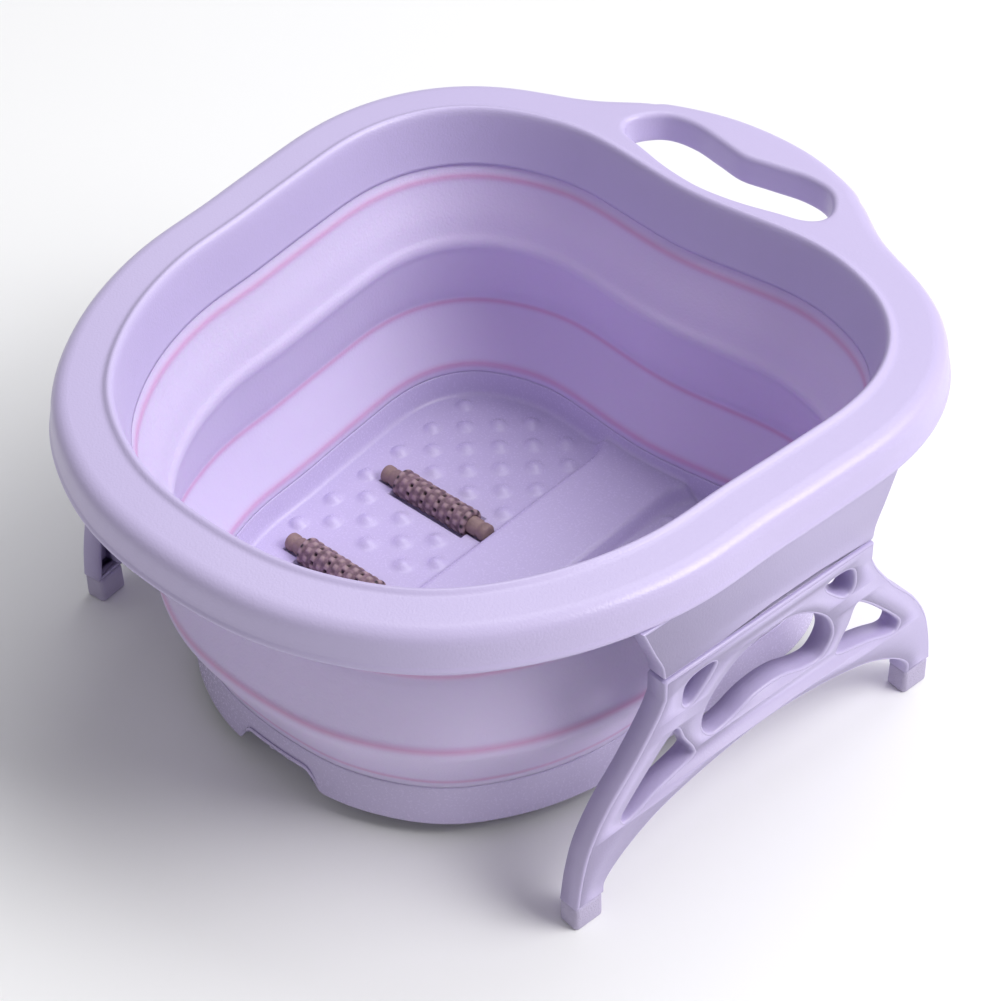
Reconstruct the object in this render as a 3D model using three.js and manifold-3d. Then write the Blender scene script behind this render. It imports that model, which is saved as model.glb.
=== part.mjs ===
// Foldable foot spa basin: a stiff rim with a carry handle, a soft folding wall, a stiff tray with
// two foot wells and four massage rollers, and two hinged leg panels with rubber feet.
// Millimetres, +Z up, +Y towards the handle. The tray lifts into the rim and the legs fold inwards.
import * as THREE from "three";
import { mergeVertices } from "three/addons/utils/BufferGeometryUtils.js";
import Module from "manifold-3d";

const wasm = await Module();
wasm.setup();

// Clearances.
const GAP = 0.3; // between touching pieces
const RUN = 0.3; // radial play of a pin or an axle in its bore
const PAST = 2; // how far a cutter runs past the face it opens

// The basin's mouth, along the inner edge of the rim.
const MOUTH_HALF_WIDTH = 147.3; // at mid length
const MOUTH_FRONT = 161; // from mid length to the end away from the handle
const MOUTH_BACK = 159; // from mid length to the end lobes beside the handle
const MOUTH_DENT = 5.5; // how far the handle end curves in between its lobes
const SIDE_SPLAY = THREE.MathUtils.degToRad(5.87); // each side opens out towards the handle
const STATIONS = 60; // steps round the basin

// Rim: an inverted channel round the mouth.
const RIM_TOP = 178;
const RIM_BEAD = 1.6; // raised bead along the inner edge
const RIM_WALL = 3;
const RIM_WIDTH = 28; // from the inner edge to the shoulder
const RIM_FLARE = 2; // how much further out the skirt's lower edge stands
const SKIRT_HEIGHT = 20;
const RIM_INNER_DEPTH = 29;
const RIM_INNER_DRAFT = 5.6; // how far the inner wall leans in by its lower edge

// Carry handle, a plate on the rim's back end with a finger opening.
const HANDLE_REACH = 68; // from the lobes' line to the handle's far edge
const HANDLE_HALF_WIDTH = 84;
const HANDLE_DEPTH = 16;
const GRIP_WIDTH = 25;
const GRIP_BULGE = 6;
const FINGER_HALF_WIDTH = 62;
const FINGER_LIP = 9; // between the mouth and the finger opening

// Folding wall: centre line as [offset from the mouth, height], from its lip down to the tray.
const WALL_THICKNESS = 2.4;
const LIP_RISE = 10; // how far the lip stands up inside the rim's channel
const UPPER_FOLD = { inset: 5.8, height: 142 };
const INNER_FOLD = { inset: 19.6, height: 110 };
const OUTER_FOLD = { inset: 9.6, height: 67 };
const LOWER_FOLD = { inset: 25.6, height: 35 };

// Tray: the stiff base with two foot wells and a raised ridge between them.
const TRAY_TOP = 31;
const TRAY_BOTTOM = 9;
const TRAY_WALL = 3;
const TRAY_INSET_TOP = 24.2;
const TRAY_INSET_BOTTOM = 22;
const FLOOR_HEIGHT = 17;
const RIDGE_HEIGHT = 24;
const RIDGE_HALF_TOP = 22;
const RIDGE_HALF_FOOT = 27.5;
const WELL_DRAFT = 1.2; // how far the well's side leans in by the floor

// Massage bumps, in staggered rows.
const BUMP_RADIUS = 5;
const BUMP_RISE = 1.8;
const BUMP_PITCH_X = 24.5;
const BUMP_PITCH_Y = 12.4;
const BUMP_SHIFT_Y = 5; // from mid length to the middle row
const BUMP_TO_RIDGE = 1;
const BUMP_TO_WALL = 4;

// Massage rollers, two in each well.
const ROLLER_RADIUS = 7.6;
const ROLLER_LENGTH = 49;
const AXLE_RADIUS = 4.8;
const AXLE_END = 11.5; // how far the axle stands out of each end of its roller
const AXLE_HEIGHT = 19.2;
const ROLLER_X = 63;
const ROLLER_YS = [-33, 36];
const POCKET_PLAY = 1.2;
const POCKET_FLOOR = 2.3;
const POCKET_UNDER = 0.4; // clearance under the roller
const ROLLER_CHAMFER = 1;
const AXLE_CHAMFER = 0.8;

// Leg panels and the aprons that they hang from.
const HINGE_HEIGHT = 122;
const PANEL_THICKNESS = 12;
const PANEL_SKIN = 3;
const WAIST_HALF = 65;
const FOOT_HALF_SPREAD = 115.7;
const FOOT_WIDTH = 16.7;
const PAD_HEIGHT = 14;
const ARCH_HEIGHT = 53.5;
const OPENING_WALL = 2.6; // wall round each opening in the leg panel
const PEG_THICKNESS = 4; // the peg that each foot is pushed over
const PEG_SHOULDER = 4; // from the leg's side to the peg's
const PEG_LENGTH = 7;
const PEG_ROOT = 4; // how far the peg runs up inside the leg
const FOOT_ROUND = 2.5;
const HINGE_SEAM = 0.5; // half the seam between apron and leg panel
const APRON_SINK = 0.8; // how far the apron's face sits behind the leg panel's
const APRON_FLARE = 13;
const TONGUE_HALF = 44; // the apron's tongue stands up inside the rim's channel
const TONGUE_SINK = 5;
const APRON_CORNER = 8;
const APRON_BULGE = 2; // how far above its middle the apron's side is fullest

// Hinge knuckles: at each station two on the apron and one on the leg panel between them.
const KNUCKLE_RADIUS = 5;
const KNUCKLE_LENGTH = 7;
const KNUCKLE_STATION = 43;
const PIN_RADIUS = 1.8;
const PIN_CHAMFER = 0.3;

const SKIRT_BOTTOM = RIM_TOP - SKIRT_HEIGHT;
const RIM_INNER_BOTTOM = RIM_TOP - RIM_INNER_DEPTH;
const LEG_TOP = HINGE_HEIGHT - HINGE_SEAM;
const LEG_FOOT = PAD_HEIGHT + GAP;
const HANDLE_FAR = MOUTH_BACK + HANDLE_REACH;
const RIM_OUT = RIM_WIDTH + RIM_FLARE;
const MIDDLE_Y = (HANDLE_FAR - (MOUTH_FRONT + RIM_OUT)) / 2; // middle of the overall length

function material(color, roughness, metalness = 0) {
  return new THREE.MeshStandardMaterial({ color, roughness, metalness });
}
const lilac = material(0xbfb2dc, 0.35);
const softLilac = material(0xc9bce0, 0.5);
const rubber = material(0xb5aac6, 0.75);
const mauve = material(0x98807f, 0.6);
const tan = material(0xa48d83, 0.6);
const steel = material(0xb8b8bc, 0.3, 1);

// ---- Geometry helpers ----

function toSolid(geometry) {
  const bare = geometry.clone();
  bare.deleteAttribute("normal");
  bare.deleteAttribute("uv");
  const merged = mergeVertices(bare, 1e-4);
  return new wasm.Manifold(
    new wasm.Mesh({
      numProp: 3,
      vertProperties: merged.attributes.position.array,
      triVerts: new Uint32Array(merged.index.array),
    }),
  );
}

function toGeometry(solid) {
  const made = solid.getMesh();
  const geometry = new THREE.BufferGeometry();
  geometry.setAttribute("position", new THREE.BufferAttribute(made.vertProperties, 3));
  geometry.setIndex(new THREE.BufferAttribute(made.triVerts, 1));
  geometry.computeVertexNormals();
  return geometry;
}

function join(solids) {
  return solids.reduce((whole, piece) => whole.add(piece));
}

// Geometry from vertices and triangles, turned inside out if its faces point inwards.
function closedGeometry(vertices, triangles) {
  let volume = 0;
  for (const [a, b, c] of triangles)
    volume += vertices[a].dot(new THREE.Vector3().crossVectors(vertices[b], vertices[c]));
  const outward = volume > 0 ? triangles : triangles.map(([a, b, c]) => [a, c, b]);
  const geometry = new THREE.BufferGeometry().setFromPoints(vertices);
  geometry.setIndex(outward.flat());
  geometry.computeVertexNormals();
  return geometry;
}

// A straight prism of a plan outline between two heights.
function prism(outline, low, high) {
  const shape = new THREE.Shape(outline);
  const geometry = new THREE.ExtrudeGeometry(shape, { depth: high - low, bevelEnabled: false });
  return toSolid(geometry.translate(0, 0, low));
}

function box(lowX, highX, lowY, highY, lowZ, highZ) {
  const geometry = new THREE.BoxGeometry(highX - lowX, highY - lowY, highZ - lowZ);
  geometry.translate((lowX + highX) / 2, (lowY + highY) / 2, (lowZ + highZ) / 2);
  return toSolid(geometry);
}

// A cylinder along Y at a place [x, z].
function rod(radius, low, high, [x, z]) {
  const geometry = new THREE.CylinderGeometry(radius, radius, high - low, 14);
  return toSolid(geometry.translate(x, (low + high) / 2, z));
}

// Each corner of a closed outline moved out by a distance, along the mitre of its two edges.
function grow(outline, distance) {
  const area = THREE.ShapeUtils.area(outline);
  const sign = area > 0 ? 1 : -1;
  return outline.map((point, i) => {
    const before = outline.at(i - 1);
    const after = outline[(i + 1) % outline.length];
    const first = point.clone().sub(before).normalize();
    const second = after.clone().sub(point).normalize();
    const normal = new THREE.Vector2(first.y + second.y, -first.x - second.x).normalize();
    const mitre = Math.max(0.5, normal.dot(new THREE.Vector2(first.y, -first.x)));
    return point.clone().addScaledVector(normal, (sign * distance) / mitre);
  });
}

// A closed outline from its right half, which runs from the axis and back to it.
function mirrored(half) {
  const left = half.filter((p) => p.x > 1e-6).map((p) => new THREE.Vector2(-p.x, p.y));
  return [...half, ...left.reverse()];
}

// A smooth closed outline through points.
function loop(points, steps) {
  const along = points.map(([x, y]) => new THREE.Vector3(x, y, 0));
  const curve = new THREE.CatmullRomCurve3(along, true, "centripetal");
  return curve.getPoints(steps).slice(0, -1).map((p) => new THREE.Vector2(p.x, p.y));
}

// A smooth closed outline through a right half that starts and ends on the axis, and its mirror.
function mirroredLoop(half, steps) {
  const left = half.slice(1, -1).map(([x, y]) => [-x, y]);
  return loop([...half, ...left.reverse()], steps);
}

function smooth(points, steps) {
  return new THREE.SplineCurve(points.map(([x, y]) => new THREE.Vector2(x, y))).getPoints(steps);
}

// ---- The mouth's outline and everything that runs parallel to it ----

function sideX(y) {
  return MOUTH_HALF_WIDTH + y * Math.tan(SIDE_SPLAY);
}

// Right half of the mouth from the front to the back, as [x, y].
function mouthPoints() {
  const wide = MOUTH_HALF_WIDTH;
  const front = -MOUTH_FRONT;
  const back = MOUTH_BACK;
  const right = [
    [0.345 * wide, 0.96 * front],
    [0.655 * wide, 0.81 * front],
    [0.855 * wide, 0.575 * front],
    [sideX(0.3 * front), 0.3 * front],
    [sideX(0), 0],
    [sideX(0.3 * back), 0.3 * back],
    [1.045 * wide, 0.5 * back],
    [1.003 * wide, 0.69 * back],
    [0.887 * wide, 0.85 * back],
    [0.7 * wide, 0.955 * back],
    [0.47 * wide, back],
    [0.22 * wide, back - 0.52 * MOUTH_DENT],
  ];
  const left = right.map(([x, y]) => [-x, y]).reverse();
  return [[0, front], ...right, [0, back - MOUTH_DENT], ...left];
}

const mouthCurve = new THREE.CatmullRomCurve3(
  mouthPoints().map(([x, y]) => new THREE.Vector3(x, y, 0)),
  true,
  "centripetal",
);
mouthCurve.arcLengthDivisions = 2000;

const mouth = Array.from({ length: STATIONS }, (_, i) => {
  const along = i / STATIONS;
  const point = mouthCurve.getPointAt(along);
  const tangent = mouthCurve.getTangentAt(along);
  return {
    point: new THREE.Vector2(point.x, point.y),
    normal: new THREE.Vector2(tangent.y, -tangent.x).normalize(),
  };
});

function parallel(offset) {
  return mouth.map(({ point, normal }) => point.clone().addScaledVector(normal, offset));
}

// A closed section, as [offset, height] points, carried all the way round the mouth.
function carriedRound(section) {
  const rings = section.map(([offset, z]) => {
    return parallel(offset).map((p) => new THREE.Vector3(p.x, p.y, z));
  });
  const triangles = [];
  rings.forEach((_, j) => {
    const next = (j + 1) % rings.length;
    for (let i = 0; i < STATIONS; i++) {
      const k = (i + 1) % STATIONS;
      const [a, b] = [j * STATIONS + i, j * STATIONS + k];
      const [c, d] = [next * STATIONS + i, next * STATIONS + k];
      triangles.push([a, b, c], [b, d, c]);
    }
  });
  return closedGeometry(rings.flat(), triangles);
}

// A solid filled between stacked outlines parallel to the mouth, as [offset, height] levels.
function stacked(levels) {
  const rings = levels.map(([offset, z]) => {
    return parallel(offset).map((p) => new THREE.Vector3(p.x, p.y, z));
  });
  const triangles = [];
  for (let j = 0; j + 1 < rings.length; j++) {
    for (let i = 0; i < STATIONS; i++) {
      const k = (i + 1) % STATIONS;
      const [a, b] = [j * STATIONS + i, j * STATIONS + k];
      triangles.push([a, b, a + STATIONS], [b, b + STATIONS, a + STATIONS]);
    }
  }
  const cap = THREE.ShapeUtils.triangulateShape(parallel(levels[0][0]), []);
  const last = (rings.length - 1) * STATIONS;
  for (const [a, b, c] of cap) {
    triangles.push([a, c, b], [a + last, b + last, c + last]);
  }
  return toSolid(closedGeometry(rings.flat(), triangles));
}

// ---- Rim with its handle ----

// Offset of the inner wall's back face at a height.
function innerWallBack(z) {
  const rise = (z - RIM_INNER_BOTTOM) / (RIM_INNER_DEPTH - RIM_WALL);
  return THREE.MathUtils.lerp(-RIM_INNER_DRAFT, -0.25 * RIM_INNER_DRAFT, rise) + RIM_WALL;
}

function rimRing() {
  const inner = -RIM_INNER_DRAFT;
  const under = RIM_TOP - RIM_WALL;
  const section = [
    [inner, RIM_INNER_BOTTOM],
    [-0.25 * RIM_INNER_DRAFT, under],
    [0, RIM_TOP + 0.6 * RIM_BEAD],
    [1.6, RIM_TOP + RIM_BEAD],
    [3.6, RIM_TOP + 0.6 * RIM_BEAD],
    [5, RIM_TOP],
    [RIM_WIDTH - 5, RIM_TOP - 0.8],
    [RIM_WIDTH - 1.2, RIM_TOP - 2.6],
    [RIM_WIDTH + 0.2, RIM_TOP - 6],
    [RIM_OUT - 0.6, SKIRT_BOTTOM + 3],
    [RIM_OUT, SKIRT_BOTTOM + 2],
    [RIM_OUT, SKIRT_BOTTOM],
    [RIM_OUT - RIM_WALL, SKIRT_BOTTOM],
    [RIM_WIDTH - RIM_WALL, under - 3],
    [innerWallBack(under - 1), under - 1],
    [innerWallBack(RIM_INNER_BOTTOM), RIM_INNER_BOTTOM],
  ];
  return toSolid(carriedRound(section));
}

// The handle plate's plan: its far edge, then back along the inside of the rim's wall.
function handlePlan() {
  const wide = HANDLE_HALF_WIDTH;
  const root = MOUTH_BACK + RIM_WIDTH;
  const reach = HANDLE_FAR - root;
  const right = [
    [0.26 * wide, root + 0.94 * reach],
    [0.52 * wide, root + 0.76 * reach],
    [0.73 * wide, root + 0.58 * reach],
    [0.86 * wide, root + 0.34 * reach],
    [wide, root],
    [1.16 * wide, root - 0.28 * reach],
  ];
  const left = right.map(([x, y]) => [-x, y]).reverse();
  const base = parallel(RIM_WALL / 2).filter((p) => p.y > 0 && Math.abs(p.x) < 1.08 * wide);
  const edge = smooth([...left, [0, HANDLE_FAR], ...right], 24);
  return [...edge, ...base.sort((p, q) => q.x - p.x)];
}

function fingerPlan() {
  const wide = FINGER_HALF_WIDTH;
  const near = MOUTH_BACK - MOUTH_DENT + FINGER_LIP;
  const far = HANDLE_FAR - GRIP_WIDTH;
  const end = (near + far) / 2;
  return mirroredLoop(
    [
      [0, far - GRIP_BULGE],
      [0.3 * wide, far - 0.45 * GRIP_BULGE],
      [0.6 * wide, far],
      [0.85 * wide, far - 0.2 * (far - end)],
      [wide, end],
      [0.92 * wide, near + 0.62 * (end - near)],
      [0.65 * wide, near + 0.36 * (end - near)],
      [0.35 * wide, near + 0.12 * (end - near)],
      [0, near],
    ],
    34,
  );
}

function rim() {
  const plate = handlePlan();
  const finger = fingerPlan();
  const low = RIM_TOP - HANDLE_DEPTH;
  const body = rimRing().add(prism(plate, low, RIM_TOP - 1));
  const hollow = prism(grow(plate, -RIM_WALL), SKIRT_BOTTOM - PAST, RIM_TOP - 1 - RIM_WALL);
  const rail = prism(grow(finger, RIM_WALL), SKIRT_BOTTOM - PAST, RIM_TOP);
  const hole = prism(finger, SKIRT_BOTTOM - 2 * PAST, RIM_TOP + 2 * PAST);
  return toGeometry(body.subtract(hollow.subtract(rail)).subtract(hole));
}

// ---- Folding wall ----

function foldingWall() {
  const half = WALL_THICKNESS / 2;
  const lipTop = RIM_INNER_BOTTOM + LIP_RISE;
  const line = [
    [innerWallBack(lipTop) + GAP + half, lipTop],
    [innerWallBack(RIM_INNER_BOTTOM) + GAP + half, RIM_INNER_BOTTOM - half],
    [-UPPER_FOLD.inset, UPPER_FOLD.height],
    [-INNER_FOLD.inset, INNER_FOLD.height],
    [-OUTER_FOLD.inset, OUTER_FOLD.height],
    [-LOWER_FOLD.inset, LOWER_FOLD.height],
    [-LOWER_FOLD.inset, TRAY_TOP + GAP],
  ];
  const inside = line.map(([offset, z]) => [offset - half, z]);
  const outside = line.map(([offset, z]) => [offset + half, z]);
  return carriedRound([...inside, ...outside.reverse()]);
}

// ---- Tray ----

// The rollers' places, as [x, y], left well first.
const rollerPlaces = [-1, 1].flatMap((side) => ROLLER_YS.map((y) => [side * ROLLER_X, y]));

// A trapezium across the basin carried along its whole length.
function lengthwise(halfTop, top, halfBottom, bottom) {
  const section = [
    new THREE.Vector2(-halfBottom, bottom),
    new THREE.Vector2(halfBottom, bottom),
    new THREE.Vector2(halfTop, top),
    new THREE.Vector2(-halfTop, top),
  ];
  const length = 2 * (MOUTH_FRONT + MOUTH_BACK);
  const geometry = new THREE.ExtrudeGeometry(new THREE.Shape(section), {
    depth: length,
    bevelEnabled: false,
  });
  return toSolid(geometry.rotateX(Math.PI / 2).translate(0, length / 2, 0));
}

// The hollow that a roller and its axle lie in, grown by a margin all round.
function rollerHollow([x, y], margin, bottom) {
  const halfBarrel = ROLLER_LENGTH / 2 + POCKET_PLAY + margin;
  const halfAxle = ROLLER_LENGTH / 2 + AXLE_END + GAP + margin;
  const reach = ROLLER_RADIUS + POCKET_PLAY + margin;
  const seat = AXLE_RADIUS + RUN + margin;
  const seatBottom = Math.max(bottom, AXLE_HEIGHT - seat);
  const barrel = box(x - halfBarrel, x + halfBarrel, y - reach, y + reach, bottom, FLOOR_HEIGHT);
  const cradle = box(x - halfAxle, x + halfAxle, y - seat, y + seat, seatBottom, FLOOR_HEIGHT);
  return barrel.add(cradle);
}

function bumps() {
  const inner = RIDGE_HALF_FOOT + BUMP_RADIUS + BUMP_TO_RIDGE;
  const outline = parallel(-LOWER_FOLD.inset - TRAY_WALL - BUMP_RADIUS - BUMP_TO_WALL);
  const clearX = ROLLER_LENGTH / 2 + AXLE_END + BUMP_RADIUS;
  const clearY = ROLLER_RADIUS + POCKET_PLAY + BUMP_RADIUS;
  const rows = Math.ceil(MOUTH_BACK / BUMP_PITCH_Y);
  const columns = Math.ceil(MOUTH_HALF_WIDTH / BUMP_PITCH_X);
  const places = [];
  for (let row = -rows; row <= rows; row++) {
    for (let column = 0; column < columns; column++) {
      const x = inner + BUMP_PITCH_X * (column + (row % 2 ? 0.5 : 0));
      const y = BUMP_SHIFT_Y + row * BUMP_PITCH_Y;
      const nearRoller = rollerPlaces.some(([rollerX, rollerY]) => {
        return Math.abs(x - rollerX) < clearX && Math.abs(y - rollerY) < clearY;
      });
      if (!nearRoller && isInside([x, y], outline)) places.push([x, y], [-x, y]);
    }
  }
  return places.map(([x, y]) => {
    const dome = new THREE.SphereGeometry(1, 6, 4);
    dome.scale(BUMP_RADIUS, BUMP_RISE, BUMP_RADIUS).rotateX(Math.PI / 2);
    return toSolid(dome.translate(x, y, FLOOR_HEIGHT));
  });
}

function isInside([x, y], outline) {
  let inside = false;
  outline.forEach((a, i) => {
    const b = outline.at(i - 1);
    const crosses = a.y > y !== b.y > y;
    if (crosses && x < ((b.x - a.x) * (y - a.y)) / (b.y - a.y) + a.x) inside = !inside;
  });
  return inside;
}

function tray() {
  const shell = stacked([
    [-TRAY_INSET_BOTTOM, TRAY_BOTTOM],
    [-TRAY_INSET_TOP, TRAY_TOP],
  ]);
  const topInset = TRAY_INSET_TOP + TRAY_WALL;
  const cavity = stacked([
    [-topInset - WELL_DRAFT, FLOOR_HEIGHT],
    [-topInset, TRAY_TOP + PAST],
  ]);
  const ridge = lengthwise(RIDGE_HALF_TOP, RIDGE_HEIGHT, RIDGE_HALF_FOOT, FLOOR_HEIGHT - PAST);
  const tunnelTop = RIDGE_HEIGHT - TRAY_WALL;
  const tunnelFoot = RIDGE_HALF_FOOT - TRAY_WALL + (RIDGE_HALF_FOOT - RIDGE_HALF_TOP);
  const tunnel = lengthwise(
    RIDGE_HALF_TOP - TRAY_WALL,
    tunnelTop,
    tunnelFoot,
    TRAY_BOTTOM - PAST,
  );
  const under = stacked([
    [-TRAY_INSET_BOTTOM - TRAY_WALL, TRAY_BOTTOM - PAST],
    [-topInset, FLOOR_HEIGHT - TRAY_WALL],
  ]);
  const spine = lengthwise(
    RIDGE_HALF_TOP,
    tunnelTop + TRAY_WALL,
    tunnelFoot + TRAY_WALL,
    TRAY_BOTTOM - 2 * PAST,
  );
  const pocketBottom = AXLE_HEIGHT - ROLLER_RADIUS - POCKET_UNDER;
  const housings = rollerPlaces.map((place) => rollerHollow(place, POCKET_FLOOR, TRAY_BOTTOM));
  const pockets = rollerPlaces.map((place) => rollerHollow(place, 0, pocketBottom));
  const body = shell
    .subtract(cavity.subtract(ridge))
    .subtract(under.subtract(spine).subtract(join(housings)))
    .subtract(tunnel)
    .add(join(bumps()));
  const seats = rollerPlaces.map(([x, y]) => {
    const half = ROLLER_LENGTH / 2 + AXLE_END + GAP;
    const wide = AXLE_RADIUS + RUN;
    return box(x - half, x + half, y - wide, y + wide, FLOOR_HEIGHT - 1, FLOOR_HEIGHT + PAST);
  });
  return toGeometry(body.subtract(join(pockets)).subtract(join(seats)));
}

// ---- Rollers ----

function rollerBarrel() {
  const half = ROLLER_LENGTH / 2;
  const bore = AXLE_RADIUS + RUN;
  const profile = [
    [bore, -half],
    [ROLLER_RADIUS - ROLLER_CHAMFER, -half],
    [ROLLER_RADIUS, -half + ROLLER_CHAMFER],
    [ROLLER_RADIUS, half - ROLLER_CHAMFER],
    [ROLLER_RADIUS - ROLLER_CHAMFER, half],
    [bore, half],
    [bore, -half],
  ];
  return new THREE.LatheGeometry(profile.map(([r, y]) => new THREE.Vector2(r, y)), 20);
}

function rollerAxle() {
  const half = ROLLER_LENGTH / 2 + AXLE_END;
  const profile = [
    [0, -half],
    [AXLE_RADIUS - AXLE_CHAMFER, -half],
    [AXLE_RADIUS, -half + AXLE_CHAMFER],
    [AXLE_RADIUS, half - AXLE_CHAMFER],
    [AXLE_RADIUS - AXLE_CHAMFER, half],
    [0, half],
  ];
  return new THREE.LatheGeometry(profile.map(([r, y]) => new THREE.Vector2(r, y)), 14);
}

// ---- Leg panels: local X out of the panel's face, local Y along it, Z up ----

// A point of the leg panel: along 0 at the waist to 1 at the foot, up 0 at the foot to 1 at the top.
function legPoint(along, up) {
  const s = THREE.MathUtils.lerp(WAIST_HALF, FOOT_HALF_SPREAD, along);
  return [s, THREE.MathUtils.lerp(LEG_FOOT, LEG_TOP, up)];
}

function legHalf() {
  const archPoint = (out, up) => {
    const s = out * (FOOT_HALF_SPREAD - FOOT_WIDTH);
    return [s, THREE.MathUtils.lerp(LEG_FOOT, ARCH_HEIGHT, up)];
  };
  const flank = smooth(
    [
      legPoint(0, 0.9),
      legPoint(0.1, 0.81),
      legPoint(0.355, 0.645),
      legPoint(0.65, 0.485),
      legPoint(0.85, 0.325),
      legPoint(0.95, 0.16),
      legPoint(1, 0),
    ],
    9,
  );
  const arch = smooth(
    [
      archPoint(1, 0),
      archPoint(0.985, 0.2),
      archPoint(0.87, 0.46),
      archPoint(0.67, 0.72),
      archPoint(0.36, 0.91),
      archPoint(0, 1),
    ],
    8,
  );
  return [new THREE.Vector2(0, LEG_TOP), new THREE.Vector2(WAIST_HALF, LEG_TOP), ...flank, ...arch];
}

// A point of the panel's upper middle: out 0 on the axis to 1 at the waist's edge.
function waistPoint(out, up) {
  return [out * WAIST_HALF, THREE.MathUtils.lerp(LEG_FOOT, LEG_TOP, up)];
}

// The bone-shaped opening in the panel's middle.
function bone() {
  return mirroredLoop(
    [
      waistPoint(0, 0.895),
      waistPoint(0.22, 0.875),
      waistPoint(0.42, 0.81),
      waistPoint(0.58, 0.71),
      waistPoint(0.63, 0.6),
      waistPoint(0.53, 0.515),
      waistPoint(0.36, 0.525),
      waistPoint(0.18, 0.565),
      waistPoint(0, 0.578),
    ],
    28,
  );
}

// The small leaf beside the bone's upper corner and the triangle over the foot, on the right.
function leaf() {
  const corners = [
    waistPoint(0.53, 0.915),
    waistPoint(0.68, 0.935),
    waistPoint(0.8, 0.905),
    waistPoint(0.82, 0.81),
    waistPoint(0.73, 0.79),
  ];
  return loop(corners, 10);
}

function triangle() {
  const corners = [
    legPoint(-0.17, 0.68),
    legPoint(-0.08, 0.67),
    legPoint(0.16, 0.56),
    legPoint(0.44, 0.41),
    legPoint(0.46, 0.36),
    legPoint(0.38, 0.345),
    legPoint(0.08, 0.4),
    legPoint(-0.33, 0.455),
    legPoint(-0.36, 0.5),
    legPoint(-0.24, 0.6),
  ];
  return loop(corners, 15);
}

// A plate of a panel outline: it stands between two depths measured inwards from the face.
function panelPlate(outline, nearFace, farFace) {
  const shape = new THREE.Shape(outline);
  const depth = farFace - nearFace;
  const geometry = new THREE.ExtrudeGeometry(shape, { depth, bevelEnabled: false });
  geometry.rotateX(Math.PI / 2).rotateZ(Math.PI / 2);
  return toSolid(geometry.translate(-farFace, 0, 0));
}

function flipped(outline) {
  return outline.map((p) => new THREE.Vector2(-p.x, p.y)).reverse();
}

const KNUCKLE_STEP = KNUCKLE_LENGTH + 2 * GAP;
const knuckleStations = [-KNUCKLE_STATION, KNUCKLE_STATION];
const hingeLine = [-PANEL_THICKNESS, HINGE_HEIGHT];

function knuckle(middle) {
  const half = KNUCKLE_LENGTH / 2;
  return rod(KNUCKLE_RADIUS, middle - half, middle + half, hingeLine);
}

// Room round a knuckle for the piece that it turns against.
function knuckleRoom(middle) {
  const half = KNUCKLE_LENGTH / 2 + GAP;
  const reach = KNUCKLE_RADIUS + 1;
  const [x, z] = hingeLine;
  return box(x - reach - PAST, x + reach, middle - half, middle + half, z - reach, z + reach);
}

function pinBore(station) {
  const half = 2 * KNUCKLE_LENGTH;
  return rod(PIN_RADIUS + RUN, station - half, station + half, hingeLine);
}

const apronKnuckles = knuckleStations.flatMap((y) => [y - KNUCKLE_STEP, y + KNUCKLE_STEP]);

function legPanel() {
  const outline = mirrored(legHalf());
  const openings = [bone(), leaf(), flipped(leaf()), triangle(), flipped(triangle())];
  const past = PANEL_THICKNESS + PAST;
  const cuts = openings.map((opening) => panelPlate(opening, -PAST, past));
  const rails = openings.map((opening) => panelPlate(grow(opening, OPENING_WALL), 0, past));
  const hollow = panelPlate(grow(outline, -PANEL_SKIN), PANEL_SKIN, past);
  const pegHalf = FOOT_WIDTH / 2 - PEG_SHOULDER;
  const pegInner = -(PANEL_THICKNESS + PEG_THICKNESS) / 2;
  const pegOuter = pegInner + PEG_THICKNESS;
  const pegs = [-1, 1].map((side) => {
    const middle = side * (FOOT_HALF_SPREAD - FOOT_WIDTH / 2);
    const [near, far] = [middle - pegHalf, middle + pegHalf];
    return box(pegInner, pegOuter, near, far, LEG_FOOT - PEG_LENGTH, LEG_FOOT + PEG_ROOT);
  });
  const body = panelPlate(outline, 0, PANEL_THICKNESS)
    .subtract(hollow.subtract(join(rails)))
    .subtract(join(cuts))
    .add(join(pegs))
    .subtract(join(apronKnuckles.map(knuckleRoom)))
    .add(join(knuckleStations.map(knuckle)));
  return toGeometry(body.subtract(join(knuckleStations.map(pinBore))));
}

function apron() {
  const low = HINGE_HEIGHT + HINGE_SEAM;
  const high = SKIRT_BOTTOM - GAP;
  const tongueTop = RIM_TOP - 2 * RIM_WALL - PAST;
  const corner = smooth(
    [
      [WAIST_HALF - APRON_CORNER, low],
      [WAIST_HALF - 0.3 * APRON_CORNER, low + 0.2 * APRON_CORNER],
      [WAIST_HALF + 0.15 * APRON_CORNER, low + APRON_CORNER],
      [WAIST_HALF + 0.5 * APRON_FLARE, (low + high) / 2 + APRON_BULGE],
      [WAIST_HALF + APRON_FLARE, high],
    ],
    10,
  );
  const half = [
    new THREE.Vector2(0, low),
    ...corner,
    new THREE.Vector2(0, high),
  ];
  const tongue = [
    new THREE.Vector2(0, high - PAST),
    new THREE.Vector2(TONGUE_HALF, high - PAST),
    new THREE.Vector2(TONGUE_HALF, tongueTop),
    new THREE.Vector2(0, tongueTop),
  ];
  const body = panelPlate(mirrored(half), APRON_SINK, PANEL_THICKNESS)
    .add(panelPlate(mirrored(tongue), TONGUE_SINK, PANEL_THICKNESS))
    .subtract(join(knuckleStations.map(knuckleRoom)))
    .add(join(apronKnuckles.map(knuckle)));
  return toGeometry(body.subtract(join(knuckleStations.map(pinBore))));
}

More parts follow.
